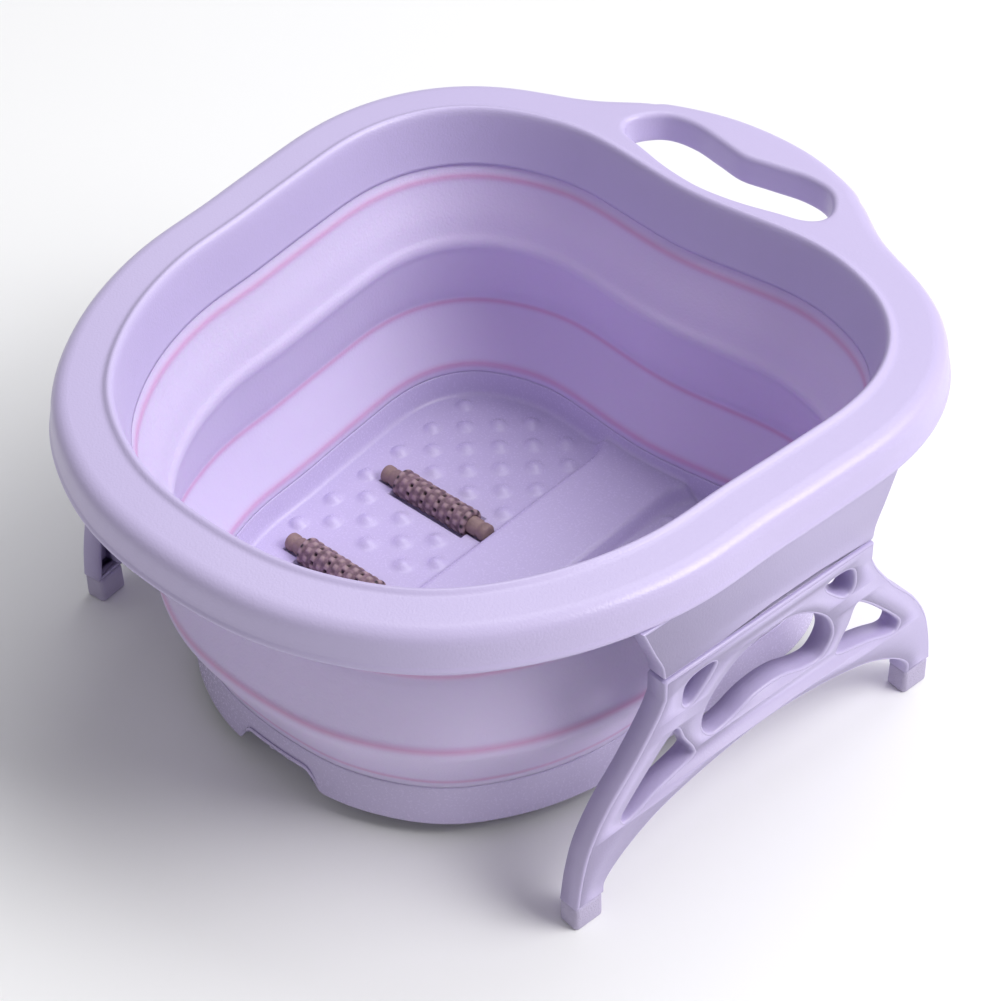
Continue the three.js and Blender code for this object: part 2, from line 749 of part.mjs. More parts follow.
function hingePin() {
  const half = 1.5 * KNUCKLE_LENGTH + 2 * GAP;
  const profile = [
    [0, -half],
    [PIN_RADIUS - PIN_CHAMFER, -half],
    [PIN_RADIUS, -half + PIN_CHAMFER],
    [PIN_RADIUS, half - PIN_CHAMFER],
    [PIN_RADIUS - PIN_CHAMFER, half],
    [0, half],
  ];
  return new THREE.LatheGeometry(profile.map(([r, y]) => new THREE.Vector2(r, y)), 10);
}

// A rubber foot: a round-cornered block with a socket for the panel's peg.
function footPad() {
  const half = FOOT_WIDTH / 2;
  const deep = PANEL_THICKNESS / 2;
  const round = FOOT_ROUND;
  const outline = new THREE.Shape();
  outline.absarc(deep - round, half - round, round, 0, Math.PI / 2);
  outline.absarc(round - deep, half - round, round, Math.PI / 2, Math.PI);
  outline.absarc(round - deep, round - half, round, Math.PI, 1.5 * Math.PI);
  outline.absarc(deep - round, round - half, round, 1.5 * Math.PI, 2 * Math.PI);
  const plan = outline.getPoints(3).slice(0, -1);
  const socketHalf = half - PEG_SHOULDER + GAP;
  const reach = PEG_THICKNESS / 2 + GAP;
  const low = LEG_FOOT - PEG_LENGTH - GAP;
  const socket = box(-reach, reach, -socketHalf, socketHalf, low, PAD_HEIGHT + PAST);
  return toGeometry(prism(plan, 0, PAD_HEIGHT).subtract(socket));
}

// ---- Assembly ----

function piece(name, geometry, finish) {
  const mesh = new THREE.Mesh(geometry, finish);
  mesh.name = name;
  return mesh;
}

function rollers() {
  const group = new THREE.Group();
  const names = ["left_front", "left_back", "right_front", "right_back"];
  rollerPlaces.forEach(([x, y], i) => {
    const barrel = piece(`${names[i]}_roller`, rollerBarrel(), mauve);
    const axle = piece(`${names[i]}_axle`, rollerAxle(), tan);
    for (const mesh of [barrel, axle]) {
      mesh.rotation.z = Math.PI / 2;
      mesh.position.set(x, y, AXLE_HEIGHT);
      group.add(mesh);
    }
  });
  return group;
}

// One side's apron, leg panel, feet and pins, in the panel's own frame.
function legSide(side) {
  const group = new THREE.Group();
  group.add(piece(`${side}_apron`, apron(), lilac));
  group.add(piece(`${side}_leg_panel`, legPanel(), lilac));
  const ends = side === "right" ? ["front", "back"] : ["back", "front"];
  [-1, 1].forEach((sign, i) => {
    const pad = piece(`${side}_${ends[i]}_foot_pad`, footPad(), rubber);
    pad.position.set(-PANEL_THICKNESS / 2, sign * (FOOT_HALF_SPREAD - FOOT_WIDTH / 2), 0);
    const pin = piece(`${side}_${ends[i]}_hinge_pin`, hingePin(), steel);
    pin.position.set(hingeLine[0], sign * KNUCKLE_STATION, hingeLine[1]);
    group.add(pad, pin);
  });
  const faceX = sideX(0) + RIM_WIDTH / Math.cos(SIDE_SPLAY);
  group.position.set(side === "right" ? faceX : -faceX, 0, 0);
  group.rotation.z = side === "right" ? -SIDE_SPLAY : Math.PI + SIDE_SPLAY;
  return group;
}

const basin = new THREE.Group();
basin.add(piece("rim", rim(), lilac));
basin.add(piece("folding_wall", foldingWall(), softLilac));
basin.add(piece("tray", tray(), lilac));
basin.add(rollers(), legSide("left"), legSide("right"));
basin.position.y = -MIDDLE_Y;

const footSpa = new THREE.Group();
footSpa.add(basin);

export default footSpa;
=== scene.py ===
import math
import bmesh
import bpy
import numpy as np
from mathutils import Matrix, Vector


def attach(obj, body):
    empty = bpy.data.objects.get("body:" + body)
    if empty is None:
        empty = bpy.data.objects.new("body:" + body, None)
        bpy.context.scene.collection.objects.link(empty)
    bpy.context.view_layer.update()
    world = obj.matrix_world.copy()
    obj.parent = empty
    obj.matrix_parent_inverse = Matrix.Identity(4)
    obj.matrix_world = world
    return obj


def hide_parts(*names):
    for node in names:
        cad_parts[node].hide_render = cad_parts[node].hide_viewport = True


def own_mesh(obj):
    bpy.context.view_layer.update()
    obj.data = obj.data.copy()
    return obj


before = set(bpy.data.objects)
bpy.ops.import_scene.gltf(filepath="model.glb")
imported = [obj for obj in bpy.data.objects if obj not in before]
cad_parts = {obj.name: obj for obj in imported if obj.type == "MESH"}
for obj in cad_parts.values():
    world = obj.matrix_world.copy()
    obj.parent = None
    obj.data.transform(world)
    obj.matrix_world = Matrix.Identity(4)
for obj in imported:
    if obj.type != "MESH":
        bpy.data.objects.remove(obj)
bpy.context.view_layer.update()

# ---- Studio: camera, lights and floor ----
# A long lens looks down at the basin from in front and to its right.
# One large soft lamp hangs high on the right and one above the handle, and a broad window light
# comes from the back right.

scene = bpy.context.scene
camera_azimuth = math.radians(43.225)
camera_elevation = math.radians(41.712)
camera_roll = math.radians(-1.340)
camera_place = (0.6528, -0.6960, 0.9205)
camera_lens = 95.43
backward = Vector((
    math.sin(camera_azimuth) * math.cos(camera_elevation),
    -math.cos(camera_azimuth) * math.cos(camera_elevation),
    math.sin(camera_elevation),
))
level_right = (-backward).cross(Vector((0, 0, 1))).normalized()
level_up = level_right.cross(-backward)
right = level_right * math.cos(camera_roll) + level_up * math.sin(camera_roll)
up = level_up * math.cos(camera_roll) - level_right * math.sin(camera_roll)
camera = bpy.data.objects.new("camera", bpy.data.cameras.new("camera"))
camera.data.lens = camera_lens
camera.data.sensor_width = 36
camera.data.clip_end = 20
camera_turn = Matrix((right, up, backward)).transposed().to_4x4()
camera.matrix_world = Matrix.Translation(camera_place) @ camera_turn
scene.collection.objects.link(camera)
scene.camera = camera


def soft_light(name, place, size, watts, tint):
    """A square area light at a place, turned towards the middle of the basin."""
    lamp = bpy.data.lights.new(name, "AREA")
    lamp.size = size
    lamp.energy = watts
    lamp.color = tint
    made = bpy.data.objects.new(name, lamp)
    made.location = place
    from_basin = Vector(place) - Vector((0, 0, 0.1))
    made.rotation_euler = from_basin.to_track_quat("Z", "Y").to_euler()
    scene.collection.objects.link(made)


soft_light("key_light", (1.3, 0.5, 1.3), 0.8, 12, (1.0, 0.985, 0.97))
soft_light("overhead_light", (-0.2, 0.75, 1.8), 1.2, 12, (0.97, 0.98, 1.0))
sun = bpy.data.lights.new("window_light", "SUN")
sun.energy = 1.55
sun.angle = math.radians(40)
window = bpy.data.objects.new("window_light", sun)
window.rotation_euler = Vector((1.0, 0.75, 1.25)).to_track_quat("Z", "Y").to_euler()
scene.collection.objects.link(window)

world = bpy.data.worlds.new("studio")
world.use_nodes = True
sky = world.node_tree.nodes["Background"]
sky.inputs["Color"].default_value = (1, 1, 1, 1)
sky.inputs["Strength"].default_value = 0.33
scene.world = world
scene.view_settings.view_transform = "Standard"

floor_mesh = bpy.data.meshes.new("floor")
floor_corners = [(-6, -6, 0), (6, -6, 0), (6, 6, 0), (-6, 6, 0)]
floor_mesh.from_pydata(floor_corners, [], [(0, 1, 2, 3)])
floor = bpy.data.objects.new("floor", floor_mesh)
floor_paint = bpy.data.materials.new("floor_paint")
floor_paint.use_nodes = True
floor_shader = floor_paint.node_tree.nodes["Principled BSDF"]
floor_shader.inputs["Base Color"].default_value = (0.90, 0.90, 0.91, 1)
floor_shader.inputs["Roughness"].default_value = 0.85
floor.data.materials.append(floor_paint)
scene.collection.objects.link(floor)

# ---- Rim and carry handle ----
# The rim is a stiff moulded polypropylene channel, open below, with a fine bead round the mouth.
# At the back its top widens into the carry handle, with a finger opening whose edges are rolled.
# It is one moulding: the folding wall's lip is clamped behind its inner wall.

mm = 0.001
mouth_half_width = 147.3
mouth_front = -161
mouth_back = 159
mouth_dent = 5.5
side_splay = math.radians(5.87)
middle_y = 18  # the mouth's own middle is this far in front of the overall middle
mouth_steps = 1440
rim_top = 178
shoulder = 28
plastic_wall = 2.4


def side_x(y):
    """Half the mouth's width at a length along its side: it opens out evenly towards the handle."""
    return mouth_half_width + y * math.tan(side_splay)


def closed_curve(points, count):
    """Centripetal Catmull-Rom curve through a closed ring of points, at even steps of its length.

    Between two points the curve is the three-level blend of the four nearest ones, with knots at
    the square roots of the chords.
    """
    ring = np.array(points, float)
    p = [np.roll(ring, k, axis=0)[:, None, :] for k in (1, 0, -1, -2)]
    chord = [np.sqrt(np.linalg.norm(b - a, axis=2, keepdims=True)) for a, b in zip(p, p[1:])]
    k0 = np.zeros_like(chord[0])
    k1 = k0 + chord[0]
    k2 = k1 + chord[1]
    k3 = k2 + chord[2]
    t = k1 + (k2 - k1) * np.linspace(0, 1, 60, endpoint=False)[None, :, None]
    a1 = (k1 - t) / (k1 - k0) * p[0] + (t - k0) / (k1 - k0) * p[1]
    a2 = (k2 - t) / (k2 - k1) * p[1] + (t - k1) / (k2 - k1) * p[2]
    a3 = (k3 - t) / (k3 - k2) * p[2] + (t - k2) / (k3 - k2) * p[3]
    b1 = (k2 - t) / (k2 - k0) * a1 + (t - k0) / (k2 - k0) * a2
    b2 = (k3 - t) / (k3 - k1) * a2 + (t - k1) / (k3 - k1) * a3
    dense = ((k2 - t) / (k2 - k1) * b1 + (t - k1) / (k2 - k1) * b2).reshape(-1, ring.shape[1])
    return even_steps(dense, count)


def even_steps(dense, count):
    """A closed line sampled again at even steps of its length."""
    closed = np.vstack([dense, dense[:1]])
    run = np.concatenate([[0], np.cumsum(np.linalg.norm(np.diff(closed, axis=0), axis=1))])
    wanted = np.linspace(0, run[-1], count, endpoint=False)
    return np.stack([np.interp(wanted, run, closed[:, k]) for k in range(closed.shape[1])], 1)


def softened(line, harmonics):
    """A closed plan line with only its slowest waves kept, so that it has no kinks in its bend."""
    waves = np.fft.fft(line[:, 0] + 1j * line[:, 1])
    order = np.abs(np.fft.fftfreq(len(line), 1 / len(line)))
    kept = np.fft.ifft(np.where(order <= harmonics, waves, 0))
    return np.stack([kept.real, kept.imag], 1)


def outward(line):
    """Unit normals of a closed plan line that runs anticlockwise, pointing away from its inside."""
    along = np.roll(line, -1, axis=0) - np.roll(line, 1, axis=0)
    along /= np.linalg.norm(along, axis=1, keepdims=True)
    return np.stack([along[:, 1], -along[:, 0]], 1)


mouth_right = [
    (0.345 * mouth_half_width, 0.96 * mouth_front),
    (0.655 * mouth_half_width, 0.81 * mouth_front),
    (0.855 * mouth_half_width, 0.575 * mouth_front),
    (side_x(0.3 * mouth_front), 0.3 * mouth_front),
    (side_x(0), 0),
    (side_x(0.3 * mouth_back), 0.3 * mouth_back),
    (1.045 * mouth_half_width, 0.5 * mouth_back),
    (1.003 * mouth_half_width, 0.69 * mouth_back),
    (0.887 * mouth_half_width, 0.85 * mouth_back),
    (0.7 * mouth_half_width, 0.955 * mouth_back),
    (0.47 * mouth_half_width, mouth_back),
    (0.22 * mouth_half_width, mouth_back - 0.52 * mouth_dent),
]
mouth_ring = [(0, mouth_front), *mouth_right, (0, mouth_back - mouth_dent)]
mouth_ring += [(-x, y) for x, y in reversed(mouth_right)]
mouth = softened(closed_curve(mouth_ring, mouth_steps), harmonics=22)
mouth_out = outward(mouth)


def grid_faces(rows, columns, wrap):
    """Quads of a grid of points kept row by row; wrap joins its last column to its first."""
    steps = columns if wrap else columns - 1
    i, j = np.meshgrid(np.arange(rows - 1), np.arange(steps), indexing="ij")
    here = i * columns + j
    beside = i * columns + (j + 1) % columns
    return np.stack([here, beside, beside + columns, here + columns], -1).reshape(-1, 4)


def sheet_mesh(name, parts, open_upwards=False):
    """One smooth mesh from several grids, each (points, faces), whose shared edges are joined.

    A closed skin's faces are turned outwards. An open sheet's are turned so that most look up.
    """
    points = np.concatenate([p.reshape(-1, 3) for p, _ in parts])
    starts = np.cumsum([0] + [p.reshape(-1, 3).shape[0] for p, _ in parts[:-1]])
    faces = np.concatenate([f + s for (_, f), s in zip(parts, starts)])
    keys = np.round(points * 1e6).astype(np.int64)
    _, first, back = np.unique(keys, axis=0, return_index=True, return_inverse=True)
    faces = [list(dict.fromkeys(f)) for f in back.reshape(-1)[faces].tolist()]
    mesh = bpy.data.meshes.new(name)
    mesh.from_pydata(points[first].tolist(), [], [f for f in faces if len(f) > 2])
    mesh.update()
    work = bmesh.new()
    work.from_mesh(mesh)
    bmesh.ops.remove_doubles(work, verts=work.verts, dist=2e-6)
    bmesh.ops.recalc_face_normals(work, faces=work.faces)
    if open_upwards and sum(f.normal.z * f.calc_area() for f in work.faces) < 0:
        bmesh.ops.reverse_faces(work, faces=work.faces)
    work.to_mesh(mesh)
    work.free()
    mesh.shade_smooth()
    return mesh


def stand(name, mesh, material):
    """A mesh object of that name in the scene, with one material."""
    made = bpy.data.objects.new(name, mesh)
    made.data.materials.append(material)
    scene.collection.objects.link(made)
    return made


def thicken(piece, thickness):
    """Gives an open sheet its wall, behind its face, with closed edges."""
    wall = piece.modifiers.new("wall", "SOLIDIFY")
    wall.thickness = thickness
    wall.offset = -1


# How far the handle reaches out past the plain rim, at steps across from its middle.
handle_across = np.array([0, 12, 24, 36, 48, 58, 66, 73, 79, 85, 92, 101, 112, 126])
handle_reach = np.array([40, 39.6, 38.2, 35.4, 31.0, 26.4, 21.6, 16.0, 10.6, 6.4, 3.2, 1.1, 0.2, 0])
grip_width = 25
opening_gap = 9  # the rim's top between the mouth and the finger opening
finger_half = 62
finger_steps = 400
finger_near = mouth_back - mouth_dent + opening_gap
finger_far = mouth_back + shoulder + handle_reach[0] - grip_width
finger_middle = (finger_near + finger_far) / 2
finger_right = [
    (0.3 * finger_half, finger_far - 2.7),
    (0.6 * finger_half, finger_far),
    (0.85 * finger_half, finger_far - 0.2 * (finger_far - finger_middle)),
    (finger_half, finger_middle),
    (0.92 * finger_half, finger_near + 0.62 * (finger_middle - finger_near)),
    (0.65 * finger_half, finger_near + 0.36 * (finger_middle - finger_near)),
    (0.35 * finger_half, finger_near + 0.12 * (finger_middle - finger_near)),
]
finger_ring = [(0, finger_far - 6), *finger_right, (0, finger_near)]
finger_ring += [(-x, y) for x, y in reversed(finger_right)]
finger = softened(closed_curve(finger_ring[::-1], finger_steps), harmonics=14)
finger_out = outward(finger)
right_tip = np.argmax(finger[:, 0])
finger = np.roll(finger, -right_tip, axis=0)
finger_out = np.roll(finger_out, -right_tip, axis=0)
left_tip = int(np.argmin(finger[:, 0]))
edge_roll = 3.0
opening = finger + edge_roll * finger_out
far_edge = opening[: left_tip + 1]
near_edge = np.vstack([opening[left_tip:], opening[:1]])[::-1]
slit_steps = 90


def along_line(line, share):
    """Points of an open line at given shares of its number of steps."""
    place = share * (len(line) - 1)
    return np.stack([np.interp(place, np.arange(len(line)), line[:, k]) for k in (0, 1)], 1)


slit_far = along_line(far_edge, np.linspace(0, 1, slit_steps))
slit_near = along_line(near_edge, np.linspace(0, 1, slit_steps))
tip = opening[0]

# Stations round the mouth: those beside the opening follow its two edges, the rest are even.
in_front = 1000 * (mouth[:, 1] < 0)
start = int(np.argmin(np.abs(mouth[:, 0] - tip[0] + in_front)))
end = int(np.argmin(np.abs(mouth[:, 0] + tip[0] + in_front)))
span = (end - start) % mouth_steps
even_share = np.linspace(0, 1, slit_steps)
eased_share = (1 - np.cos(np.linspace(0, math.pi, slit_steps))) / 2
slit_places = start + span * eased_share * 0.35 + span * 0.65 * even_share
rest_steps = 420
rest_places = np.linspace(end, start + mouth_steps, rest_steps)[1:-1]
places = np.concatenate([slit_places, rest_places])


def on(line, places):
    """Points of a closed line at fractional positions counted in its own steps."""
    wrapped = np.vstack([line, line[:1]])
    steps = np.arange(len(line) + 1)
    return np.stack([np.interp(places % len(line), steps, wrapped[:, k]) for k in (0, 1)], 1)


station = on(mouth, places)
station_out = on(mouth_out, places)
station_out /= np.linalg.norm(station_out, axis=1, keepdims=True)
plain_edge = station + shoulder * station_out
reach = np.interp(np.abs(plain_edge[:, 0]), handle_across, handle_reach)
reach = np.where(plain_edge[:, 1] > 0, reach, 0)
kernel = np.hanning(13) / np.hanning(13).sum()
reach = np.convolve(np.concatenate([reach[-6:], reach, reach[:6]]), kernel, "valid")
handle_share = np.clip(reach / handle_reach[0], 0, 1)
filled_dent = handle_share * (mouth_back + shoulder - plain_edge[:, 1])
reach_scale = 0.95  # the skirt's flared foot takes up the last 2 mm
edge = plain_edge + np.stack([0 * reach, reach_scale * reach + filled_dent], 1)
edge_out = outward(edge)

# Beside the opening the outer edge's stations slide outwards, so that no two of them cross.
order = np.arange(len(edge))
past_left = np.maximum(order - slit_steps + 1, 0)
past_right = len(edge) - order
most_slide = 7
slide_fade = 30
slide_left = most_slide * np.exp(-((past_left / slide_fade) ** 2))
slide_right = most_slide * np.exp(-((past_right / slide_fade) ** 2))
slide_beside = 2 * most_slide * order / (slit_steps - 1) - most_slide
slide = np.where(order < slit_steps, slide_beside, slide_left - slide_right)
edge = on(edge, order + slide)
edge_out = on(edge_out, order + slide)
edge_out /= np.linalg.norm(edge_out, axis=1, keepdims=True)
handle_ring = np.append(handle_share, handle_share[0])
handle_share = np.interp((order + slide) % len(order), np.arange(len(order) + 1), handle_ring)

# The rim's section as (distance outwards, height): from the mouth's line, then from the outer edge.
inner_rows = [
    (-5.6, 149.0), (-5.3, 150.6), (-4.9, 152.5), (-4.0, 158), (-3.0, 165), (-1.9, 171.5),
    (-1.3, 175), (-0.8, 177.0), (-0.2, 178.3), (0.6, 179.2), (1.6, 179.6), (2.6, 179.3),
    (3.5, 178.7), (4.3, 178.25), (5.4, 178.1),
]
outer_rows = [
    (-6.0, 177.6), (-4.4, 177.0), (-2.9, 176.1), (-1.6, 174.8), (-0.7, 173.1), (-0.1, 171),
    (0.25, 168), (0.7, 164.5), (1.0, 161.9), (1.25, 161.2), (1.7, 160.5), (1.95, 159.7),
    (1.9, 158.8), (1.5, 158.2), (0.9, 158.0),
]
toe_offset = 5.4
brow_inset = 8.0


def place_3d(plan, z):
    """Plan points and heights in the overall frame, in metres."""
    z = np.broadcast_to(z, plan.shape[:-1])
    return np.concatenate([plan * mm - np.array([0, middle_y * mm]), z[..., None] * mm], -1)


inner = [place_3d(station + off * station_out, z) for off, z in inner_rows]

# The flat top between the mouth's bead and the outer edge, split round the finger opening.
toe = station + toe_offset * station_out
brow = edge - brow_inset * edge_out
tip_share = np.linalg.norm(tip - toe[0]) / np.linalg.norm(brow[0] - toe[0])
mid = toe + tip_share * (brow - toe)
steps_away = np.minimum(len(mid) - order, np.abs(order - slit_steps + 1))
fading = np.exp(-((steps_away / 14.0) ** 2))[:, None]
from_right = (order > (len(mid) + slit_steps) / 2)[:, None]
mid = mid + fading * np.where(from_right, tip - mid[0], tip * (-1, 1) - mid[slit_steps - 1])
mid_near = mid.copy()
mid_far = mid.copy()
mid_near[:slit_steps] = slit_near
mid_far[:slit_steps] = slit_far
inner_top = []
outer_top = []
for share in np.linspace(0, 1, 9):
    inner_top.append(place_3d(toe + share * (mid_near - toe), rim_top + 0.1 - 0.1 * share))
    outer_top.append(place_3d(mid_far + share * (brow - mid_far), rim_top - 0.1 * share))
skirt_lift = 4 * handle_share
outer = []
for off, z in outer_rows:
    lift = skirt_lift * np.clip((172 - z) / 12, 0, 1)
    outer.append(place_3d(edge + off * edge_out, z + lift))
band_in = np.stack(inner + inner_top[1:])
band_out = np.stack(outer_top + outer)

# The finger opening's edge rolls over a quarter turn and runs down to a foot turned outwards.
opening_loop = np.vstack([slit_far, slit_near[::-1][1:-1]])
far_loop = on(finger, np.linspace(0, left_tip, slit_steps))
near_loop = on(finger, np.linspace(left_tip, finger_steps, slit_steps))
wall_loop = np.vstack([far_loop, near_loop[1:-1]])
wall_out = (opening_loop - wall_loop) / edge_roll
opening_rows = [place_3d(opening_loop, rim_top)]
for turn in np.linspace(0, math.pi / 2, 7)[1:]:
    rolled = wall_loop + wall_out * edge_roll * (1 - math.sin(turn))
    opening_rows.append(place_3d(rolled, rim_top - edge_roll * (1 - math.cos(turn))))
for off, z in ((0, 172), (0, 168), (0, 164), (0, 162.6), (0.5, 162.1)):
    opening_rows.append(place_3d(wall_loop + wall_out * off, z))
band_opening = np.stack(opening_rows)
rim_mesh = sheet_mesh("rim_shell", [
    (band_in, grid_faces(len(band_in), len(station), True)),
    (band_out, grid_faces(len(band_out), len(station), True)),
    (band_opening, grid_faces(len(band_opening), len(opening_loop), True)),
], open_upwards=True)


def plastic_relief():
    """Shared surface of moulded plastic and rubber.

    Colour: the base colour mixed towards a second tone by broad soft clouds.
    Roughness: a base value plus fine specks.
    Normal: fine grain over a slow waviness, as a mould leaves it.
    """
    group = bpy.data.node_groups.new("moulded_surface", "ShaderNodeTree")
    face = group.interface
    for label in ("Color", "Second Color"):
        face.new_socket(name=label, in_out="INPUT", socket_type="NodeSocketColor")
    for label in ("Cloud Scale", "Cloud Share", "Roughness", "Grain Scale", "Grain Depth", "Wave Depth"):
        face.new_socket(name=label, in_out="INPUT", socket_type="NodeSocketFloat")
    for label, kind in (("Color", "Color"), ("Roughness", "Float"), ("Normal", "Vector")):
        face.new_socket(name=label, in_out="OUTPUT", socket_type="NodeSocket" + kind)
    nodes, links = group.nodes, group.links
    given = nodes.new("NodeGroupInput")
    result = nodes.new("NodeGroupOutput")
    place = nodes.new("ShaderNodeTexCoord")
    clouds = nodes.new("ShaderNodeTexNoise")
    clouds.inputs["Detail"].default_value = 3
    links.new(place.outputs["Object"], clouds.inputs["Vector"])
    links.new(given.outputs["Cloud Scale"], clouds.inputs["Scale"])
    spread = nodes.new("ShaderNodeMapRange")
    spread.inputs["From Min"].default_value = 0.35
    spread.inputs["From Max"].default_value = 0.65
    links.new(clouds.outputs["Fac"], spread.inputs["Value"])
    links.new(given.outputs["Cloud Share"], spread.inputs["To Max"])
    tone = nodes.new("ShaderNodeMix")
    tone.data_type = "RGBA"
    links.new(spread.outputs["Result"], tone.inputs["Factor"])
    links.new(given.outputs["Color"], tone.inputs["A"])
    links.new(given.outputs["Second Color"], tone.inputs["B"])
    links.new(tone.outputs["Result"], result.inputs["Color"])
    grain = nodes.new("ShaderNodeTexNoise")
    grain.inputs["Detail"].default_value = 4
    links.new(place.outputs["Object"], grain.inputs["Vector"])
    links.new(given.outputs["Grain Scale"], grain.inputs["Scale"])
    specks = nodes.new("ShaderNodeMath")
    specks.operation = "MULTIPLY_ADD"
    specks.inputs[1].default_value = 0.16
    links.new(grain.outputs["Fac"], specks.inputs[0])
    links.new(given.outputs["Roughness"], specks.inputs[2])
    links.new(specks.outputs["Value"], result.inputs["Roughness"])
    waves = nodes.new("ShaderNodeTexNoise")
    waves.inputs["Scale"].default_value = 22
    waves.inputs["Detail"].default_value = 1
    links.new(place.outputs["Object"], waves.inputs["Vector"])
    slow = nodes.new("ShaderNodeMath")
    slow.operation = "MULTIPLY"
    links.new(waves.outputs["Fac"], slow.inputs[0])
    links.new(given.outputs["Wave Depth"], slow.inputs[1])
    fine = nodes.new("ShaderNodeMath")
    fine.operation = "MULTIPLY_ADD"
    links.new(grain.outputs["Fac"], fine.inputs[0])
    links.new(given.outputs["Grain Depth"], fine.inputs[1])
    links.new(slow.outputs["Value"], fine.inputs[2])
    bump = nodes.new("ShaderNodeBump")
    bump.inputs["Distance"].default_value = 0.001
    links.new(fine.outputs["Value"], bump.inputs["Height"])
    links.new(bump.outputs["Normal"], result.inputs["Normal"])
    return group


moulded_surface = plastic_relief()


def moulded(name, color, second, roughness, cloud=(6, 0.5), grain=(900, 0.12), wave=0.25):
    """A material that wears the shared moulded surface with its own values."""
    made = bpy.data.materials.new(name)
    made.use_nodes = True
    shader = made.node_tree.nodes["Principled BSDF"]
    surface = made.node_tree.nodes.new("ShaderNodeGroup")
    surface.node_tree = moulded_surface
    surface.inputs["Color"].default_value = (*color, 1)
    surface.inputs["Second Color"].default_value = (*second, 1)
    surface.inputs["Cloud Scale"].default_value = cloud[0]
    surface.inputs["Cloud Share"].default_value = cloud[1]
    surface.inputs["Roughness"].default_value = roughness
    surface.inputs["Grain Scale"].default_value = grain[0]
    surface.inputs["Grain Depth"].default_value = grain[1]
    surface.inputs["Wave Depth"].default_value = wave
    made.node_tree.links.new(surface.outputs["Color"], shader.inputs["Base Color"])
    made.node_tree.links.new(surface.outputs["Roughness"], shader.inputs["Roughness"])
    made.node_tree.links.new(surface.outputs["Normal"], shader.inputs["Normal"])
    shader.inputs["IOR"].default_value = 1.49
    return made


shell_plastic = moulded("lilac_shell_plastic", (0.55, 0.48, 0.74), (0.58, 0.51, 0.77), 0.24)
rim = stand("rim_shell", rim_mesh, shell_plastic)
thicken(rim, plastic_wall * mm)
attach(rim, "rim_frame")
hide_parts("rim")

# ---- Soft folding wall ----
# The wall is one ring of soft translucent rubber, moulded in four bands that fold over each other.
# A thin bead runs along each fold, with a pinkish tint painted on for the light that glows through the thin
# rubber there, and the top band's lip is clamped behind the rim.

wall_half = 1.2
wall_stations = 380
section_steps = 110
# The middle of the wall's section, as (distance outwards from the mouth's line, height).
wall_line = np.array([
    (0.0, 159.0), (-0.6, 154), (-2.0, 149.5), (-3.9, 146.2), (-5.8, 142.0), (-9.0, 134.0),
    (-13.6, 124.0), (-17.0, 115.0), (-19.0, 111.6), (-19.4, 108.2), (-17.6, 103.0),
    (-14.6, 90.0), (-11.6, 76.0), (-9.9, 70.0), (-9.6, 67.0), (-11.6, 62.0), (-16.0, 53.5),
    (-21.5, 43.0), (-24.6, 37.5), (-25.8, 34.0), (-26.0, 31.0),
])


def smooth_through(points, count, closed):
    """A uniform Catmull-Rom line through points, open or closed, with a count of steps between two."""
    points = np.array(points, float)
    if closed:
        p = [np.roll(points, k, axis=0)[:, None] for k in (1, 0, -1, -2)]
    else:
        ends = np.vstack([2 * points[0] - points[1], points, 2 * points[-1] - points[-2]])
        p = [ends[k:len(ends) - 3 + k, None] for k in range(4)]
    t = np.linspace(0, 1, count, endpoint=False)[None, :, None]
    line = 0.5 * (2 * p[1] + (p[2] - p[0]) * t + (2 * p[0] - 5 * p[1] + 4 * p[2] - p[3]) * t**2
                  + (3 * p[1] - p[0] - 3 * p[2] + p[3]) * t**3)
    return line.reshape(-1, 2)


def fine_line(points, count):
    """A smooth line through a wall's section: Catmull-Rom between its points, then even steps."""
    line = np.vstack([smooth_through(points, 24, False), points[-1:]])
    run = np.concatenate([[0], np.cumsum(np.linalg.norm(np.diff(line, axis=0), axis=1))])
    wanted = np.linspace(0, run[-1], count)
    return np.stack([np.interp(wanted, run, line[:, k]) for k in (0, 1)], 1)


section = fine_line(wall_line, section_steps)
section_along = np.gradient(section, axis=0)
section_along /= np.linalg.norm(section_along, axis=1, keepdims=True)
section_out = np.stack([-section_along[:, 1], section_along[:, 0]], 1)


def bead(z, heights, width):
    """Nearness to the closest of some fold lines: e to the minus squared distance over width."""
    return np.max([np.exp(-(((z - h) / width) ** 2)) for h in heights], axis=0)


inside_folds = (142.3, 66.5, 35.6)
outside_folds = (108.6, 71.0, 36.6)
z_section = section[:, 1]
inside_bead = bead(z_section, inside_folds, 1.5)
outside_bead = bead(z_section, outside_folds, 1.6)
inside_line = section - section_out * (wall_half + 0.35 * inside_bead)[:, None]
outside_line = section + section_out * (wall_half + 0.5 * outside_bead)[:, None]
wall_section = np.vstack([inside_line, outside_line[::-1]])
# The fold shares also tint the rubber pinkish: painted light for the glow through the thin rubber at each
# fold.
wall_fold_glow = np.concatenate([inside_bead, outside_bead[::-1]])
wall_station = even_steps(mouth, wall_stations)
wall_outward = outward(wall_station)
wall_rings = [place_3d(wall_station + off * wall_outward, z) for off, z in wall_section]
wall_points = np.concatenate(wall_rings)
wall_faces = grid_faces(len(wall_section) + 1, wall_stations, True) % len(wall_points)
wall_mesh = bpy.data.meshes.new("soft_wall")
wall_mesh.from_pydata(wall_points.tolist(), [], wall_faces.tolist())
wall_mesh.update()
wall_mesh.shade_smooth()
fold_glow_attribute = wall_mesh.attributes.new("fold_glow_paint", "FLOAT", "POINT")
fold_glow_attribute.data.foreach_set("value", np.repeat(wall_fold_glow, wall_stations).astype(np.float32))

